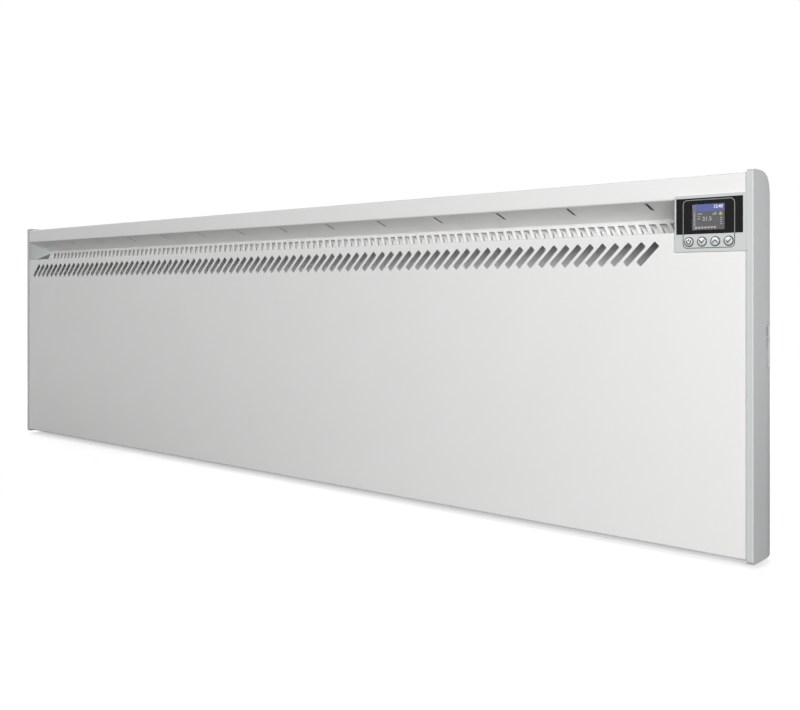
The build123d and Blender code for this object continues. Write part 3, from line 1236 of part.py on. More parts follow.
# ---------------------------------------------------------------- wall brackets
def wall_hook(x, z):
    """Flat hook in one bracket flange: a neck through the rear panel and an upturned tip."""
    start = REAR_Y + WALL_BRACKET_FIT + HOOK_ROOT
    tip_back = REAR_Y - REAR_SHEET - HOOK_PANEL_GAP
    tip_front = tip_back - HOOK_TIP_THICK
    top, bottom = z + HOOK_TIP, z - HOOK_NECK
    outline = make_face(Polyline(
        (start, z), (tip_back, z), (tip_back, top - HOOK_LEAD), (tip_front + HOOK_LEAD_IN, top),
        (tip_front, top - HOOK_LEAD), (tip_front, bottom + HOOK_CHAMFER), (tip_front + HOOK_CHAMFER, bottom),
        (start, bottom), close=True,
    ))
    return extrude(Plane.YZ.offset(x - WALL_BRACKET_SHEET / 2) * outline, WALL_BRACKET_SHEET)


def wall_bracket(centre):
    half = WALL_BRACKET_WIDTH / 2
    wall_depth = CASING_DEPTH + WALL_GAP
    edge = CASING_DEPTH + WALL_BRACKET_FIT
    height = (WALL_SCREW_HEIGHTS[1] - WALL_BRACKET_UNDER, WALL_SCREW_HEIGHTS[0] + WALL_BRACKET_OVER)
    plate = block((centre - half, centre + half), (wall_depth - WALL_BRACKET_SHEET, wall_depth), height)
    sides = [
        block((x - WALL_BRACKET_SHEET / 2, x + WALL_BRACKET_SHEET / 2), (edge, wall_depth), height)
        for x in hook_xs(centre)
    ]
    hooks = [wall_hook(x, z) for x in hook_xs(centre) for z in HOOK_HEIGHTS]
    window = block((centre - WALL_WINDOW_WIDTH / 2, centre + WALL_WINDOW_WIDTH / 2),
                   (wall_depth - WALL_BRACKET_SHEET - PAST, wall_depth + PAST),
                   (-WALL_WINDOW_HEIGHT / 2, WALL_WINDOW_HEIGHT / 2))
    holes = [drill(WALL_HOLE_RADIUS, (centre, wall_depth, z), (0, -1, 0), WALL_BRACKET_SHEET)
             for z in WALL_SCREW_HEIGHTS]
    return plate.fuse(*sides, *hooks).cut(window, *holes)


# ---------------------------------------------------------------- all nodes
def nodes():
    left_face, right_face = bracket_face_xs()
    parts = {
        "front_panel": front_panel(),
        "rear_panel": rear_panel(),
        "right_end_cap": right_end_cap(),
        "left_end_cap": mirrored(plain_cap()),
        "trough_seal": trough_seal(),
        "right_cap_screws": end_cap_screws(1),
        "left_cap_screws": end_cap_screws(-1),
        "bottom_flange_screws": flange_screws(),
        "top_rivets": top_rivets(),
        "control_housing": control_housing(),
        "control_housing_screws": control_housing_screws(),
        "display_window": display_window(),
        "display_module": display_module(),
        "control_board": control_board(),
        "control_board_screws": control_board_screws(),
        "key_switches": key_switches(),
        "power_switch_body": power_switch_body(),
        "power_switch_rocker": power_switch_rocker(),
        "power_indicator_lens": power_indicator_lens(),
        "element_bushes": element_bushes(),
        "element_bracket_left": element_bracket(left_face, -1),
        "element_bracket_right": element_bracket(right_face, 1),
        "element_bracket_screws": element_bracket_screws(),
        "heat_shield": heat_shield(),
        "shield_standoffs": shield_standoffs(),
        "shield_screws": shield_screws(),
        "thermal_cutout": thermal_cutout(),
        "chamber_partition": chamber_partition(),
        "partition_screws": partition_screws(),
        "wire_grommet": wire_grommet(),
        "power_board": power_board(),
        "power_relay": power_relay(),
        "mains_transformer": mains_transformer(),
        "filter_capacitors": filter_capacitors(),
        "terminal_block": terminal_block(),
        "board_standoffs": board_standoffs(),
        "power_board_screws": power_board_screws(),
        "room_sensor": room_sensor(),
        "sensor_clip": sensor_clip(),
        "cable_gland": cable_gland(),
        "gland_nut": gland_nut(),
        "wall_bracket_left": wall_bracket(BRACKET_XS[0]),
        "wall_bracket_right": wall_bracket(BRACKET_XS[1]),
    }
    for name, x in button_places().items():
        parts[name] = push_button(x)
    for place, z in zip(("lower", "upper"), ELEMENT_HEIGHTS):
        parts[f"element_profile_{place}"] = element_profile(z)
        parts[f"element_rod_{place}"] = element_rod(z)
    return parts


os.makedirs("parts", exist_ok=True)
for name, part in nodes().items():
    export_step(part, f"parts/{name}.step")
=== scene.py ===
import json
import math

import bmesh
import bpy
from mathutils import Matrix, Vector


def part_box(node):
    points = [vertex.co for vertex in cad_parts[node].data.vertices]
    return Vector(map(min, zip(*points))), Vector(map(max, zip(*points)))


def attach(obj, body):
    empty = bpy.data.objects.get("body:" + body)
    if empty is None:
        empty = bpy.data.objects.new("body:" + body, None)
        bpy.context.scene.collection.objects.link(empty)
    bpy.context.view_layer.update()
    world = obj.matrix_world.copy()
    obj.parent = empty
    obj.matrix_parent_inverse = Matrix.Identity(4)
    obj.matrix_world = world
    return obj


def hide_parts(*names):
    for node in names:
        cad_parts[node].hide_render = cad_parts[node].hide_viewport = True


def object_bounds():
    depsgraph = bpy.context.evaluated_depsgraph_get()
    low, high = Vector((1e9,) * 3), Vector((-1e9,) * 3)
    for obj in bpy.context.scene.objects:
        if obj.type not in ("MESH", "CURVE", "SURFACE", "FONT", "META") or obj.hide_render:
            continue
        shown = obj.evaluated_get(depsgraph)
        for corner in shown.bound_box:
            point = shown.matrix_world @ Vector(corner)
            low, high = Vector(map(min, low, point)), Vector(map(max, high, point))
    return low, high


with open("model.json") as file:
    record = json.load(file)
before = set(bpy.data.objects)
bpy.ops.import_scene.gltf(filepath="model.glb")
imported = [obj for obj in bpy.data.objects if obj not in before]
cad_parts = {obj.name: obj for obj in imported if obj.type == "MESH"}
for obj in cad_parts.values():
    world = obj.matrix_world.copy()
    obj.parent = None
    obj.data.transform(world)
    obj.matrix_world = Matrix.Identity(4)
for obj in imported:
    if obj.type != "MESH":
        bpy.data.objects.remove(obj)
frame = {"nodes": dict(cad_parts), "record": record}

CAD_BOX = [list(corner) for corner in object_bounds()]
MM = 0.001
NODES = frame["nodes"]


# ---------------------------------------------------------------- materials
def linear(hex_colour):
    """An sRGB hex colour as the linear values that a socket takes."""
    parts = [int(hex_colour[i:i + 2], 16) / 255 for i in (1, 3, 5)]
    return [p / 12.92 if p <= 0.04045 else ((p + 0.055) / 1.055) ** 2.4 for p in parts] + [1.0]


def add(tree, kind, inputs=None, **settings):
    """Adds a node: settings are its own properties, inputs are socket values or links."""
    node = tree.nodes.new(kind)
    for name, value in settings.items():
        setattr(node, name, value)
    for socket, value in (inputs or {}).items():
        if isinstance(value, bpy.types.NodeSocket):
            tree.links.new(value, node.inputs[socket])
        else:
            node.inputs[socket].default_value = value
    return node


def new_material(name):
    """A material with an empty tree, and the object's own coordinates for its textures."""
    material = bpy.data.materials.new(name)
    material.use_nodes = True
    tree = material.node_tree
    tree.nodes.clear()
    place = add(tree, "ShaderNodeTexCoord").outputs["Object"]
    return material, tree, place


def close(tree, shader):
    """Makes this shader the material's surface."""
    add(tree, "ShaderNodeOutputMaterial", {"Surface": shader})


def close_principled(tree, inputs):
    """Makes a Principled shader the material's surface."""
    close(tree, add(tree, "ShaderNodeBsdfPrincipled", inputs).outputs["BSDF"])


def per_size(size_mm):
    """Texture scale whose features are about size_mm across."""
    return 1 / (size_mm * MM)


def noise(tree, place, size_mm, detail):
    """Noise whose features are about size_mm across."""
    made = add(tree, "ShaderNodeTexNoise", {"Vector": place, "Scale": per_size(size_mm), "Detail": detail})
    return made.outputs["Fac"]


def two_tones(tree, factor, tones):
    """Two hex colours mixed by a factor."""
    mixed = add(tree, "ShaderNodeMix", {
        "Factor": factor, "A": linear(tones[0]), "B": linear(tones[1])}, data_type="RGBA")
    return mixed.outputs["Result"]


def spread(tree, value, limits):
    """Maps the middle of a noise, where nearly all its values lie, to these limits."""
    spaced = add(tree, "ShaderNodeMapRange", {
        "Value": value, "From Min": 0.3, "From Max": 0.7, "To Min": limits[0], "To Max": limits[1]})
    return spaced.outputs["Result"]


def relief(tree, height, height_mm, over=None):
    """A bump of this height, laid over another one where that is given."""
    inputs = {"Height": height, "Distance": height_mm * MM, "Strength": 1.0}
    if over:
        inputs["Normal"] = over
    return add(tree, "ShaderNodeBump", inputs).outputs["Normal"]


def finish(name, colours, gloss, grain_mm, relief_mm, mottle_mm=40.0, stretch=(1, 1, 1), **fixed):
    """A surface with two tones mottled together, a gloss that wanders and a fine relief.

    colours: light and dark tone; gloss: lowest and highest roughness; grain_mm: size of the relief's
    features and relief_mm its height; mottle_mm: size of the patches of tone; stretch: how much longer
    the grain is along each axis; fixed: values for the shader's own sockets.
    """
    material, tree, place = new_material(name)
    grain_place = add(tree, "ShaderNodeMapping", {"Vector": place, "Scale": [1 / s for s in stretch]})
    mottle = noise(tree, place, mottle_mm, 4.0)
    grain = noise(tree, grain_place.outputs["Vector"], grain_mm, 3.0)
    close_principled(tree, {
        "Base Color": two_tones(tree, mottle, colours), "Roughness": spread(tree, grain, gloss),
        "Normal": relief(tree, grain, relief_mm), **fixed})
    return material


def powder_coat():
    """Satin polyester powder on steel: a soft sheen broken by fine orange peel, on sheet that is
    not quite flat. The peel is about 1 mm on the real sheet and drawn 1.8 mm to show."""
    material, tree, place = new_material("satin_white_powder_coat")
    peel = noise(tree, place, 1.8, 2.0)
    wave = noise(tree, place, 190, 1.0)
    cloud = noise(tree, place, 60, 5.0)
    close_principled(tree, {
        "Base Color": two_tones(tree, cloud, ("#EFEFEE", "#EBEBEA")),
        "Roughness": spread(tree, cloud, (0.40, 0.47)),
        "Normal": relief(tree, peel, 0.03, over=relief(tree, wave, 0.25)), "IOR": 1.5})
    return material


def galvanised():
    """Hot-dip galvanised sheet: crystal spangle about 9 mm across, each grain a little lighter or
    duller than its neighbour."""
    material, tree, place = new_material("galvanised_steel_sheet")
    spangle = add(tree, "ShaderNodeTexVoronoi", {"Vector": place, "Scale": per_size(9)})
    grey = add(tree, "ShaderNodeSeparateColor", {"Color": spangle.outputs["Color"]})
    rough = add(tree, "ShaderNodeMapRange", {"Value": grey.outputs["Green"], "To Min": 0.32, "To Max": 0.55})
    close_principled(tree, {
        "Base Color": two_tones(tree, grey.outputs["Red"], ("#C3C8CB", "#9DA3A8")),
        "Roughness": rough.outputs["Result"], "Metallic": 1.0})
    return material


def circuit_board():
    """Green solder mask: copper tracks about 1.2 mm wide show through as paler lines."""
    material, tree, place = new_material("green_solder_mask")
    flat = add(tree, "ShaderNodeMapping", {"Vector": place, "Rotation": [math.radians(90), 0, 0]})
    cells = add(tree, "ShaderNodeTexBrick", {
        "Vector": flat.outputs["Vector"], "Scale": per_size(10), "Mortar Size": 0.06,
        "Color1": linear("#17552E"), "Color2": linear("#1B5E34"), "Mortar": linear("#2F7F49"),
        "Brick Width": 0.9, "Row Height": 0.35})
    close_principled(tree, {"Base Color": cells.outputs["Color"], "Roughness": 0.32, "IOR": 1.5})
    return material


ROW_SCALE_MM = 1.6             # the wave repeats every 0.314 of this: a pixel row every 0.5 mm
ROW_DIM = 0.86                 # light between the pixel rows, against that on them


def lit(name, colour, strength=1.0):
    """A lit part of the colour display's picture, with its faint pixel rows."""
    material, tree, place = new_material(name)
    rows = add(tree, "ShaderNodeTexWave", {
        "Vector": place, "Scale": per_size(ROW_SCALE_MM), "Distortion": 0.0}, bands_direction="Z")
    glow = add(tree, "ShaderNodeMapRange", {
        "Value": rows.outputs["Fac"], "To Min": strength * ROW_DIM, "To Max": strength})
    close_principled(tree, {
        "Base Color": linear("#050506"), "Roughness": 0.3, "Specular IOR Level": 0.2,
        "Emission Color": linear(colour), "Emission Strength": glow.outputs["Result"]})
    return material


FINISHES = {
    "white_powder_coat": powder_coat(),
    # moulded ABS, spark-eroded grain: dull, with a fine tooth. Grain 0.4 mm, drawn 0.8 mm
    "light_grey_moulding": finish("moulded_grey_abs", ("#CDD1D0", "#C8CCCB"), (0.42, 0.52), 0.8, 0.03,
                                  IOR=1.53),
    # bright zinc plate: silvery, with a cool passivated cast
    "zinc_plate": finish("bright_zinc_plate", ("#CDD1D6", "#B4B7B4"), (0.22, 0.34), 1.2, 0.01, 6.0,
                         Metallic=1.0),
    # polished acrylic, printed black behind and hard-coated against glare: deep, with little reflection
    "black_window": finish("coated_black_acrylic", ("#0D0D0F", "#101012"), (0.10, 0.16), 6.0, 0.002,
                           IOR=1.49, **{"Specular IOR Level": 0.2}),
    # liquid crystal panel, unlit edge: dark glass
    "display_glass": finish("display_panel_glass", ("#1B1D24", "#22242B"), (0.10, 0.16), 4.0, 0.002,
                            IOR=1.52),
    "circuit_board": circuit_board(),
    # black moulded nylon: dull, slightly streaked
    "black_moulding": finish("black_moulded_nylon", ("#1B1B1C", "#242425"), (0.44, 0.56), 0.8, 0.02,
                             IOR=1.53),
    # silver painted ABS: metal flake about 0.1 mm, drawn 0.3 mm
    "silver_button": finish("silver_painted_abs", ("#D6D8DA", "#C2C5C8"), (0.28, 0.40), 0.3, 0.006, 3.0,
                            Metallic=0.65),
    # moulded polycarbonate of the mains switch: smooth and a little glossy
    "grey_switch_moulding": finish("grey_polycarbonate", ("#B9BDBD", "#B2B6B6"), (0.30, 0.38), 1.2, 0.01,
                                   IOR=1.58),
    # smoked translucent polycarbonate over the indicator: grey and glossy
    "smoked_lens": finish("smoked_polycarbonate", ("#7B7F80", "#727677"), (0.14, 0.22), 1.5, 0.01,
                          IOR=1.58),
    # steatite: white, chalky and dry
    "ceramic_white": finish("unglazed_steatite", ("#E9E4D8", "#DDD7C8"), (0.62, 0.75), 0.9, 0.03, 12.0,
                            IOR=1.6),
    "galvanised_sheet": galvanised(),
    # mill-finish extrusion: fine die lines along its length
    "extruded_aluminium": finish("mill_finish_aluminium", ("#D3D4D6", "#BFC1C4"), (0.28, 0.42), 0.5, 0.01,
                                 30.0, (300, 1, 1), Metallic=1.0),
    # annealed steel sheath, straw to blue-grey heat tint
    "steel_sheath": finish("heat_tinted_steel", ("#9B948B", "#7F8188"), (0.30, 0.45), 0.8, 0.01, 18.0,
                           Metallic=1.0),
    # aluminised sheet: soft bright metal with rolling lines along X
    "aluminised_sheet": finish("aluminised_steel", ("#D9DADB", "#C9CACC"), (0.30, 0.42), 0.7, 0.01, 50.0,
                               (60, 1, 1), Metallic=1.0),
    # moulded rubber: matt and black
    "black_rubber": finish("moulded_black_rubber", ("#151515", "#1E1E1E"), (0.62, 0.75), 0.9, 0.03,
                           IOR=1.5),
    # grey rubber seal in the hollow at each end of the trough: matt, with a tone that varies a little. Its
    # dark grey is painted shade, standing for the shadow in that corner of the trough
    "grey_rubber": finish("seal_grey_painted_shade", ("#7E8081", "#757778"), (0.62, 0.75), 0.9, 0.03,
                          IOR=1.5),
    # blue epoxy dip on the capacitors
    "blue_film": finish("blue_epoxy_dip", ("#1F3F8E", "#1A357A"), (0.16, 0.24), 5.0, 0.03, 8.0,
                        IOR=1.55),
    # moulded polyamide, slightly waxy
    "terminal_white": finish("white_polyamide", ("#E2DFD6", "#DAD7CD"), (0.38, 0.48), 0.9, 0.02,
                             IOR=1.53),
}
for row in frame["record"]["subparts"]:
    node = NODES[row["node"]]
    node.data.materials.clear()
    node.data.materials.append(FINISHES[row["material_slot"]])

# matt ink, with a faint grain from the mesh. The outline's two inks are painted light: the light one on the
# window is a painted highlight along the outline's edge, the grey one on the bezel is painted shade in its
# gap. The symbols' dark ink is print
OUTLINE_PAINTED_HIGHLIGHT_INK = finish("silver_screen_print", ("#8E9192", "#7F8283"), (0.5, 0.6), 0.3, 0.01)
OUTLINE_PAINTED_SHADE_INK = finish("outline_painted_shade_print", ("#4C4F51", "#424547"), (0.5, 0.6), 0.3, 0.01)
SYMBOL_INK = finish("dark_screen_print", ("#323437", "#2A2C2F"), (0.5, 0.6), 0.3, 0.01)
CLEAR_ACRYLIC = finish("clear_acrylic", ("#FFFFFF", "#FBFCFC"), (0.0, 0.02), 6.0, 0.0005, IOR=1.49,
                       **{"Transmission Weight": 1.0, "Specular IOR Level": 0.2})
# the rim round each button's face: smooth and half metallic. Its dark grey is partly a dark ring on the
# button and partly painted shade standing for the gap round the button
RIM_DARK_AND_PAINTED_SHADE = finish("button_rim_dark_and_painted_shade", ("#5A5D60", "#4E5154"), (0.18, 0.26), 2.0, 0.004, IOR=1.5,
                    Metallic=0.5)
LCD_FIELD = lit("display_field", "#48484D", 0.9)
LCD_COLUMN = lit("display_column", "#6C6A72", 0.9)
LCD_HEADER = lit("display_header", "#4352A2")
LCD_MARKS = lit("display_marks", "#EEF0FA", 1.2)
LCD_DIM = lit("display_dim_marks", "#C2BEC4")
LCD_SUN = lit("display_sun", "#D8CF86")

# ---------------------------------------------------------------- pieces
UPRIGHT = Matrix.Rotation(math.radians(90), 4, "X")      # turns a flat shape to face the room
WELD = 0.001 * MM              # corners nearer than this become one


def piece(name, bm, material, body, replaced=()):
    """A finished mesh as an object at the origin that rides on a CAD body."""
    bmesh.ops.recalc_face_normals(bm, faces=bm.faces)
    mesh = bpy.data.meshes.new(name)
    bm.to_mesh(mesh)
    bm.free()
    mesh.materials.append(material)
    obj = bpy.data.objects.new(name, mesh)
    bpy.context.scene.collection.objects.link(obj)
    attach(obj, body)
    if replaced:
        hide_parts(*replaced)
    return obj


def upright_face(bm, x, z, y):
    """A rectangle at y, facing the room, between the two values of x and of z."""
    placed = Matrix.Translation(((x[0] + x[1]) / 2, y, (z[0] + z[1]) / 2))
    sized = Matrix.Diagonal(((x[1] - x[0]) / 2, 1, (z[1] - z[0]) / 2, 1))
    made = bmesh.ops.create_grid(bm, x_segments=1, y_segments=1, size=1, matrix=placed @ sized @ UPRIGHT)
    return made["verts"]


def thicken(bm, back):
    """Extrudes every flat face back into the heater by this distance."""
    made = bmesh.ops.extrude_face_region(bm, geom=bm.faces[:])
    verts = [v for v in made["geom"] if isinstance(v, bmesh.types.BMVert)]
    bmesh.ops.translate(bm, verts=verts, vec=(0, back, 0))


def cut(bm, point, normal, **cleared):
    """Cuts the whole mesh along a plane; cleared says which side goes, if one does."""
    bmesh.ops.bisect_plane(bm, geom=bm.verts[:] + bm.edges[:] + bm.faces[:], plane_co=point,
                           plane_no=normal, **cleared)


def rounded_ring(x, z, y, radius, width):
    """A rounded outline drawn with a line of this width."""
    bm = bmesh.new()
    corners = upright_face(bm, x, z, y)
    bmesh.ops.bevel(bm, geom=corners, offset=radius, offset_type="OFFSET", segments=10, profile=0.5,
                    affect="VERTICES", material=-1)
    bmesh.ops.inset_region(bm, faces=bm.faces[:], thickness=width, use_even_offset=True, use_boundary=True)
    middle = max(bm.faces, key=lambda f: f.calc_area())
    bmesh.ops.delete(bm, geom=[middle], context="FACES")
    return bm


housing_low, housing_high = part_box("control_housing")
window_low, window_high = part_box("display_window")
panel_low, panel_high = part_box("display_module")
BEZEL_Y, WINDOW_Y = housing_low.y, window_low.y

# the window: a clear pane over the display's picture, set in the black surround
DISPLAY_BORDER = 3.0 * MM      # unlit edge of the display module
PANE_PAST_PICTURE = 0.4 * MM
PICTURE_X = (panel_low.x + DISPLAY_BORDER, panel_high.x - DISPLAY_BORDER)
PICTURE_Z = (panel_low.z + DISPLAY_BORDER, panel_high.z - DISPLAY_BORDER)
PANE_X = (PICTURE_X[0] - PANE_PAST_PICTURE, PICTURE_X[1] + PANE_PAST_PICTURE)
PANE_Z = (PICTURE_Z[0] - PANE_PAST_PICTURE, PICTURE_Z[1] + PANE_PAST_PICTURE)

surround = bmesh.new()
upright_face(surround, (window_low.x, window_high.x), (window_low.z, window_high.z), WINDOW_Y)
for pane_x in PANE_X:
    cut(surround, (pane_x, 0, 0), (1, 0, 0))
for pane_z in PANE_Z:
    cut(surround, (0, 0, pane_z), (0, 0, 1))
opening = [f for f in surround.faces if PANE_X[0] < f.calc_center_median().x < PANE_X[1]
           and PANE_Z[0] < f.calc_center_median().z < PANE_Z[1]]
bmesh.ops.delete(surround, geom=opening, context="FACES")
thicken(surround, window_high.y - window_low.y)
piece("window_surround", surround, FINISHES["black_window"], "heater", ["display_window"])

pane = bmesh.new()
upright_face(pane, PANE_X, PANE_Z, WINDOW_Y)
thicken(pane, window_high.y - window_low.y)
piece("window_pane", pane, CLEAR_ACRYLIC, "heater")

# the display's picture: layers in front of the module, laid out in mm from its lower left corner
LAYER = 0.05 * MM              # from the module to the first layer, and from one to the next
LAYER_THICK = 0.04 * MM
NUMERAL_PLACE = 0.09 * MM      # from the module to the middle of the numerals' thickness
NUMERAL_HALF_THICK = 0.02 * MM
NUMERAL_BOLDER = 0.06 * MM
FONT_PER_HEIGHT = 1.35         # size of the built-in font for numerals 1 high
WIDE = (PICTURE_X[1] - PICTURE_X[0]) / MM
TALL = (PICTURE_Z[1] - PICTURE_Z[0]) / MM
HEADER_TALL, COLUMN_WIDE = 7.2, 3.6
FIELD_TOP = TALL - HEADER_TALL
MENU_X, MENU_LENGTHS, MENU_PITCH, MENU_INDENT = 5.2, (5.0, 2.2, 3.0), 2.6, 0.5
MENU_BELOW_HEADER = (3.2, 2.4)                           # first row's lower and upper edge
BAR_PITCH, BAR_GROWTH = 1.6, 0.9


def picture(name, rectangles, material, layer):
    """Flat parts of the picture: low and high x, then low and high z, of each."""
    bm = bmesh.new()
    for low_x, high_x, low_z, high_z in rectangles:
        upright_face(bm, (PICTURE_X[0] + low_x * MM, PICTURE_X[0] + high_x * MM),
                     (PICTURE_Z[0] + low_z * MM, PICTURE_Z[0] + high_z * MM), panel_low.y - layer * LAYER)
    thicken(bm, LAYER_THICK)
    piece(name, bm, material, "heater")


def marks(count, first, step_x=0.0, step_z=0.0):
    """A row of equal rectangles, from the first one on."""
    low_x, high_x, low_z, high_z = first
    return [(low_x + step_x * i, high_x + step_x * i, low_z + step_z * i, high_z + step_z * i)
            for i in range(count)]


def numerals(name, text, height, x, z, material):
    """Numbers on the display, set from their lower left corner."""
    curve = bpy.data.curves.new(name, "FONT")
    curve.body = text
    curve.size = height * FONT_PER_HEIGHT * MM
    curve.offset = NUMERAL_BOLDER
    curve.extrude = NUMERAL_HALF_THICK
    writer = bpy.data.objects.new(name, curve)
    mesh = bpy.data.meshes.new_from_object(writer)
    bpy.data.objects.remove(writer)
    place = Matrix.Translation((PICTURE_X[0] + x * MM, panel_low.y - NUMERAL_PLACE, PICTURE_Z[0] + z * MM))
    mesh.transform(place @ UPRIGHT)
    bm = bmesh.new()
    bm.from_mesh(mesh)
    bpy.data.meshes.remove(mesh)
    bmesh.ops.remove_doubles(bm, verts=bm.verts, dist=WELD)
    piece(name, bm, material, "heater")


picture("display_field", [(COLUMN_WIDE, WIDE, 0, FIELD_TOP)], LCD_FIELD, 1)
picture("display_column", [(0, COLUMN_WIDE, 0, TALL)], LCD_COLUMN, 1)
picture("display_header", [(COLUMN_WIDE, WIDE, FIELD_TOP, TALL)], LCD_HEADER, 1)
menu_rows = [(MENU_X + MENU_INDENT * (i % 2), MENU_X + length,
              FIELD_TOP - MENU_BELOW_HEADER[0] - MENU_PITCH * i,
              FIELD_TOP - MENU_BELOW_HEADER[1] - MENU_PITCH * i) for i, length in enumerate(MENU_LENGTHS)]
day_row = marks(7, (2.6, 4.8, 1.4, 3.2), step_x=3.4)
bars = [(21.6 + BAR_PITCH * i, 22.4 + BAR_PITCH * i, 15.2, 16.6 + BAR_GROWTH * i) for i in range(3)]
scale_marks = marks(4, (WIDE - 4.6, WIDE - 2.6, 5.2, 5.9), step_z=2.2)
column_marks = marks(6, (0.9, 2.3, 5.0, 6.0), step_z=2.4)
picture("display_menu", menu_rows + day_row, LCD_DIM, 2)
picture("display_bars", bars + scale_marks + column_marks, LCD_DIM, 2)
numerals("display_clock", "12:40", 3.5, WIDE - 12.2, TALL - 4.3, LCD_MARKS)
numerals("display_temperature", "21.5", 4.4, 10.6, 9.6, LCD_DIM)

SUN_RADIUS = 0.95 * MM
SUN_RAYS = 8
RAY_PLACE = 1.75 * MM          # from the sun's middle to the middle of a ray
RAY_HALF = Matrix.Diagonal((0.5, 1, 0.22, 1))            # half its length and width in mm
sun = bmesh.new()
sun_place = Matrix.Translation((PICTURE_X[1] - 4.2 * MM, panel_low.y - 2 * LAYER, PICTURE_Z[1] - 10.4 * MM))
bmesh.ops.create_circle(sun, cap_ends=True, segments=20, radius=SUN_RADIUS, matrix=sun_place @ UPRIGHT)
for turn in range(SUN_RAYS):
    ray = Matrix.Rotation(math.radians(360 / SUN_RAYS * turn), 4, "Y") @ Matrix.Translation((RAY_PLACE, 0, 0))
    bmesh.ops.create_grid(sun, x_segments=1, y_segments=1, size=MM,
                          matrix=sun_place @ ray @ RAY_HALF @ UPRIGHT)
thicken(sun, LAYER_THICK)
piece("display_sun", sun, LCD_SUN, "heater")

# the outline round display and buttons, drawn as thin ink in two parts: light on the window, a painted
# highlight of its edge, and grey on the bezel, painted shade in its gap
PRINT = 0.04 * MM              # how far ink stands off its surface
INK_THICK = PRINT * 0.9        # a little less, so that its back keeps clear of the surface
OUTLINE_CORNER = 5.0 * MM
OUTLINE_LINE = 0.85 * MM
MEASURED_FROM_X = housing_high.x - 2.7 * MM
OUTLINE_X = (MEASURED_FROM_X - 68.4 * MM, MEASURED_FROM_X - 11.8 * MM)
OUTLINE_Z = (window_high.z - 53.3 * MM, window_high.z - 1.5 * MM)
for name, above, surface_y, ink in [("outline_on_window", True, WINDOW_Y, OUTLINE_PAINTED_HIGHLIGHT_INK),
                                    ("outline_on_bezel", False, BEZEL_Y, OUTLINE_PAINTED_SHADE_INK)]:
    ring = rounded_ring(OUTLINE_X, OUTLINE_Z, surface_y - PRINT, OUTLINE_CORNER, OUTLINE_LINE)
    cut(ring, (0, 0, window_low.z), (0, 0, 1), clear_inner=above, clear_outer=not above)
    thicken(ring, INK_THICK)
    piece(name, ring, ink, "heater")

# ---------------------------------------------------------------- buttons
BUTTON_RADIUS = 5.2 * MM
BUTTON_ROUND = 0.5 * MM        # rounding of its edge
FACE_RADIUS = 4.15 * MM        # silver face inside the dark rim
FACE_STEPS = 8
DOME_RISE = 0.4 * MM
RIM_THICK = 0.05 * MM
RIM_DEEP = 0.9 * MM            # how far the rim goes down the button's side
RIM_UNDER_FACE = 0.05 * MM     # how far its inner edge goes in under the face
LINE = 1.1 * MM                # symbols' line width
# an arc is its radius, first and last angle; a stroke is its points and its height; all in mm
SYMBOLS = {
    "power_button": [("arc", 2.3, 125, 415), ("stroke", [(-0.55, 0.8), (0.55, 0.8)], 2.4)],
    "down_button": [("stroke", [(-3.1, 1.0), (0, -2.1), (3.1, 1.0)], 1.55)],
    "up_button": [("stroke", [(-3.1, -2.4), (0, 0.7), (3.1, -2.4)], 1.55)],
    "confirm_button": [("stroke", [(-2.7, -0.4), (-0.8, -2.3), (2.8, 1.3)], 1.55)],
}


def arc(bm, centre, radius, width, first, last, y):
    """Part of a flat ring, from the first to the last angle in degrees, counted from the right."""
    start = Vector((math.cos(math.radians(first)), 0, math.sin(math.radians(first))))
    middle = Vector((centre[0], y, centre[1]))
    ends = [bm.verts.new(middle + start * r) for r in (radius - width / 2, radius + width / 2)]
    edge = bm.edges.new(ends)
    full = abs(last - first) >= 360
    bmesh.ops.spin(bm, geom=ends + [edge], cent=middle, axis=(0, -1, 0), angle=math.radians(last - first),
                   steps=max(8, int(abs(last - first) / 8)), use_merge=full)


def stroke(bm, points, rise, y):
    """A line through points in x and z, drawn as high as rise."""
    verts = [bm.verts.new((x, y, z)) for x, z in points]
    edges = [bm.edges.new(pair) for pair in zip(verts, verts[1:])]
    made = bmesh.ops.extrude_edge_only(bm, edges=edges)
    lifted = [v for v in made["geom"] if isinstance(v, bmesh.types.BMVert)]
    bmesh.ops.translate(bm, verts=lifted, vec=(0, 0, rise))


def button_centre(node):
    """The middle of a button in x and z, and its face's y."""
    low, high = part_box(node)
    return (low.x + high.x) / 2, (low.z + high.z) / 2, low.y


def dome_height(across):
    """How far a button's domed face stands out, this far from its middle."""
    return DOME_RISE * (1 - (across / FACE_RADIUS) ** 2)


def turned(profile, centre):
    """Turns a profile of radius and height above the button's face round the button's middle."""
    bm = bmesh.new()
    middle = Vector((centre[0], centre[2], centre[1]))
    verts = [bm.verts.new(middle + Vector((radius, -height, 0))) for radius, height in profile]
    edges = [bm.edges.new(pair) for pair in zip(verts, verts[1:])]
    bmesh.ops.spin(bm, geom=verts + edges, cent=middle, axis=(0, -1, 0), angle=math.radians(360),
                   steps=48, use_merge=True)
    bmesh.ops.remove_doubles(bm, verts=bm.verts, dist=WELD)
    return bm


def button_symbol(parts, x, z, face_y):
    """A button's printed symbol, bent to its domed face."""
    bm = bmesh.new()
    ink_y = face_y - 2 * PRINT
    for kind, *form in parts:
        if kind == "arc":
            radius, first, last = form
            arc(bm, (x, z), radius * MM, LINE, first, last, ink_y)
        else:
            points, rise = form
            stroke(bm, [(x + px * MM, z + pz * MM) for px, pz in points], rise * MM, ink_y)
    bmesh.ops.subdivide_edges(bm, edges=bm.edges[:], cuts=2, use_grid_fill=True)
    for v in bm.verts:
        v.co.y -= dome_height(math.hypot(v.co.x - x, v.co.z - z))
    thicken(bm, INK_THICK)
    return bm


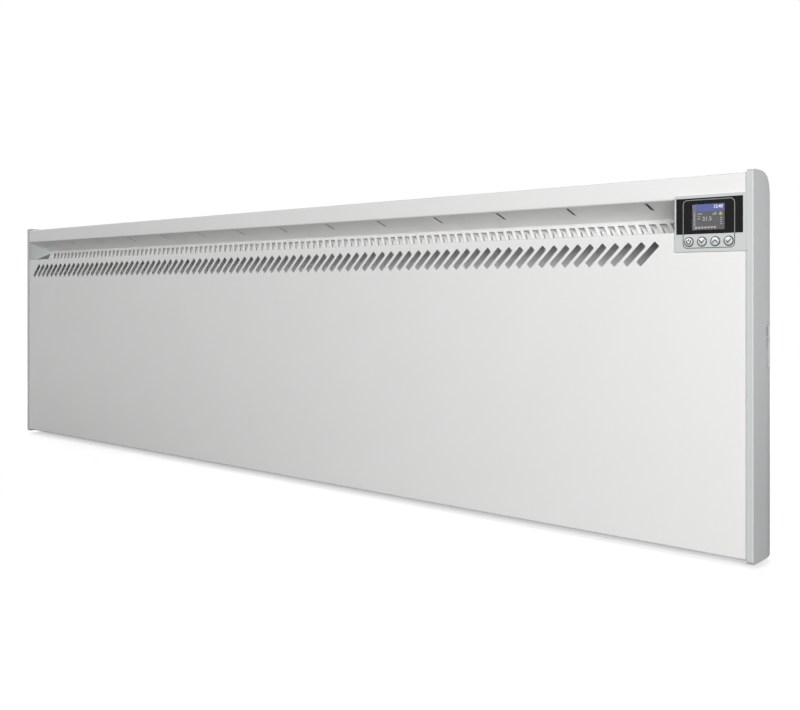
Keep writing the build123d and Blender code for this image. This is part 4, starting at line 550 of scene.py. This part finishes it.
face_radii = [FACE_RADIUS * i / FACE_STEPS for i in range(FACE_STEPS + 1)]
face_profile = [(radius, dome_height(radius) + PRINT) for radius in face_radii]
rim_radius, rim_round = BUTTON_RADIUS + RIM_THICK, BUTTON_ROUND + RIM_THICK
rim_profile = [(FACE_RADIUS - RIM_UNDER_FACE, 0), (FACE_RADIUS, RIM_THICK)]
for angle in range(0, 91, 15):
    inward = rim_round * (1 - math.sin(math.radians(angle)))
    down = rim_round * (1 - math.cos(math.radians(angle)))
    rim_profile.append((rim_radius - inward, RIM_THICK - down))
rim_profile.append((rim_radius, -RIM_DEEP))
for button, parts in SYMBOLS.items():
    x, z, face_y = button_centre(button)
    piece(button.replace("button", "symbol"), button_symbol(parts, x, z, face_y), SYMBOL_INK, button)
    for suffix, profile, material in [("face", face_profile, FINISHES["silver_button"]),
                                      ("rim", rim_profile, RIM_DARK_AND_PAINTED_SHADE)]:
        piece(button.replace("button", suffix), turned(profile, (x, z, face_y)), material, button)

# ---------------------------------------------------------------- stage
FLOOR_GAP = 2 * MM
FLOOR_HALF = 4                 # m from its middle to its edges
FADE_MIDDLE = (0.0, 0.3)
FADE_START, FADE_END = 0.7, 2.2                          # m from that point
floor_z = CAD_BOX[0][2] - FLOOR_GAP


def shadow_floor():
    """Pale floor that keeps the shadow near the object and fades into the white background.

    Only the camera sees it pale; to all other rays it is dimmer, so that it lights the object less.
    """
    material, tree, place = new_material("pale_floor")
    rays = add(tree, "ShaderNodeLightPath")
    apart = add(tree, "ShaderNodeVectorMath", {0: place, 1: (*FADE_MIDDLE, floor_z)}, operation="DISTANCE")
    fade = add(tree, "ShaderNodeMapRange", {
        "Value": apart.outputs["Value"], "From Min": FADE_START, "From Max": FADE_END},
        interpolation_type="SMOOTHSTEP")
    matt = add(tree, "ShaderNodeBsdfDiffuse", {"Color": linear("#F4F4F4")})
    dim = add(tree, "ShaderNodeBsdfDiffuse", {"Color": linear("#9A9A9A")})
    glow = add(tree, "ShaderNodeEmission", {"Color": linear("#FFFFFF"), "Strength": 0.5})
    lifted = add(tree, "ShaderNodeAddShader", {0: matt.outputs[0], 1: glow.outputs[0]})
    seen = add(tree, "ShaderNodeMixShader", {
        0: rays.outputs["Is Camera Ray"], 1: dim.outputs[0], 2: lifted.outputs[0]})
    clear = add(tree, "ShaderNodeBsdfTransparent")
    faded = add(tree, "ShaderNodeMixShader", {
        0: fade.outputs["Result"], 1: seen.outputs[0], 2: clear.outputs[0]})
    close(tree, faded.outputs[0])
    return material


ground = bmesh.new()
bmesh.ops.create_grid(ground, x_segments=1, y_segments=1, size=FLOOR_HALF,
                      matrix=Matrix.Translation((0, 0, floor_z)))
floor_mesh = bpy.data.meshes.new("floor")
ground.to_mesh(floor_mesh)
ground.free()
floor_mesh.materials.append(shadow_floor())
floor_object = bpy.data.objects.new("floor", floor_mesh)
bpy.context.scene.collection.objects.link(floor_object)

# the camera, reflections and clear parts see white; all else is lit by a weak fill
world = bpy.data.worlds.new("studio")
world.use_nodes = True
bpy.context.scene.world = world
sky = world.node_tree
sky.nodes.clear()
paths = add(sky, "ShaderNodeLightPath")
direct = add(sky, "ShaderNodeMath", {
    0: paths.outputs["Is Camera Ray"], 1: paths.outputs["Is Glossy Ray"]}, operation="MAXIMUM")
shown = add(sky, "ShaderNodeMath", {
    0: direct.outputs[0], 1: paths.outputs["Is Transmission Ray"]}, operation="MAXIMUM")
fill = add(sky, "ShaderNodeBackground", {"Color": linear("#FFFFFF"), "Strength": 0.13})
white = add(sky, "ShaderNodeBackground", {"Color": linear("#FFFFFF"), "Strength": 1.0})
backdrop = add(sky, "ShaderNodeMixShader", {0: shown.outputs[0], 1: fill.outputs[0], 2: white.outputs[0]})
add(sky, "ShaderNodeOutputWorld", {"Surface": backdrop.outputs[0]})


def softbox(name, place, target, size, power):
    """A rectangular lamp that looks at its target."""
    lamp = bpy.data.lights.new(name, "AREA")
    lamp.shape = "RECTANGLE"
    lamp.size, lamp.size_y = size
    lamp.energy = power
    obj = bpy.data.objects.new(name, lamp)
    obj.location = place
    obj.rotation_euler = (Vector(target) - Vector(place)).to_track_quat("-Z", "Y").to_euler()
    bpy.context.scene.collection.objects.link(obj)


softbox("key_softbox", place=(1.9, -1.8, 0.5), target=(0.35, -0.08, 0.03), size=(1.3, 0.9), power=45)
# high up, where the display's window doesn't mirror it to the camera
softbox("left_softbox", place=(-0.6, -2.3, 1.3), target=(0.0, -0.08, -0.03), size=(1.3, 0.9), power=12)
softbox("back_softbox", place=(-0.6, 2.6, 1.4), target=(0.0, 0.0, 0.0), size=(2.0, 1.4), power=40)
# behind the front sheet's plane, so that it lights the left end and leaves the front as it is
softbox("end_softbox", place=(-2.4, 0.35, 0.5), target=(-0.73, -0.05, 0.0), size=(1.0, 0.9), power=16)

# the camera is level, in front of and to the right of the heater; its shift sets the horizon
camera_data = bpy.data.cameras.new("camera")
camera_data.sensor_width = 36
camera_data.lens = 42.98
camera_data.shift_y = -0.0795
camera = bpy.data.objects.new("camera", camera_data)
camera.location = (1.0876, -1.057, 0.0771)
camera.rotation_euler = (math.radians(90), 0, math.radians(40.46))
bpy.context.scene.collection.objects.link(camera)
bpy.context.scene.camera = camera
bpy.context.scene.view_settings.view_transform = "Standard"
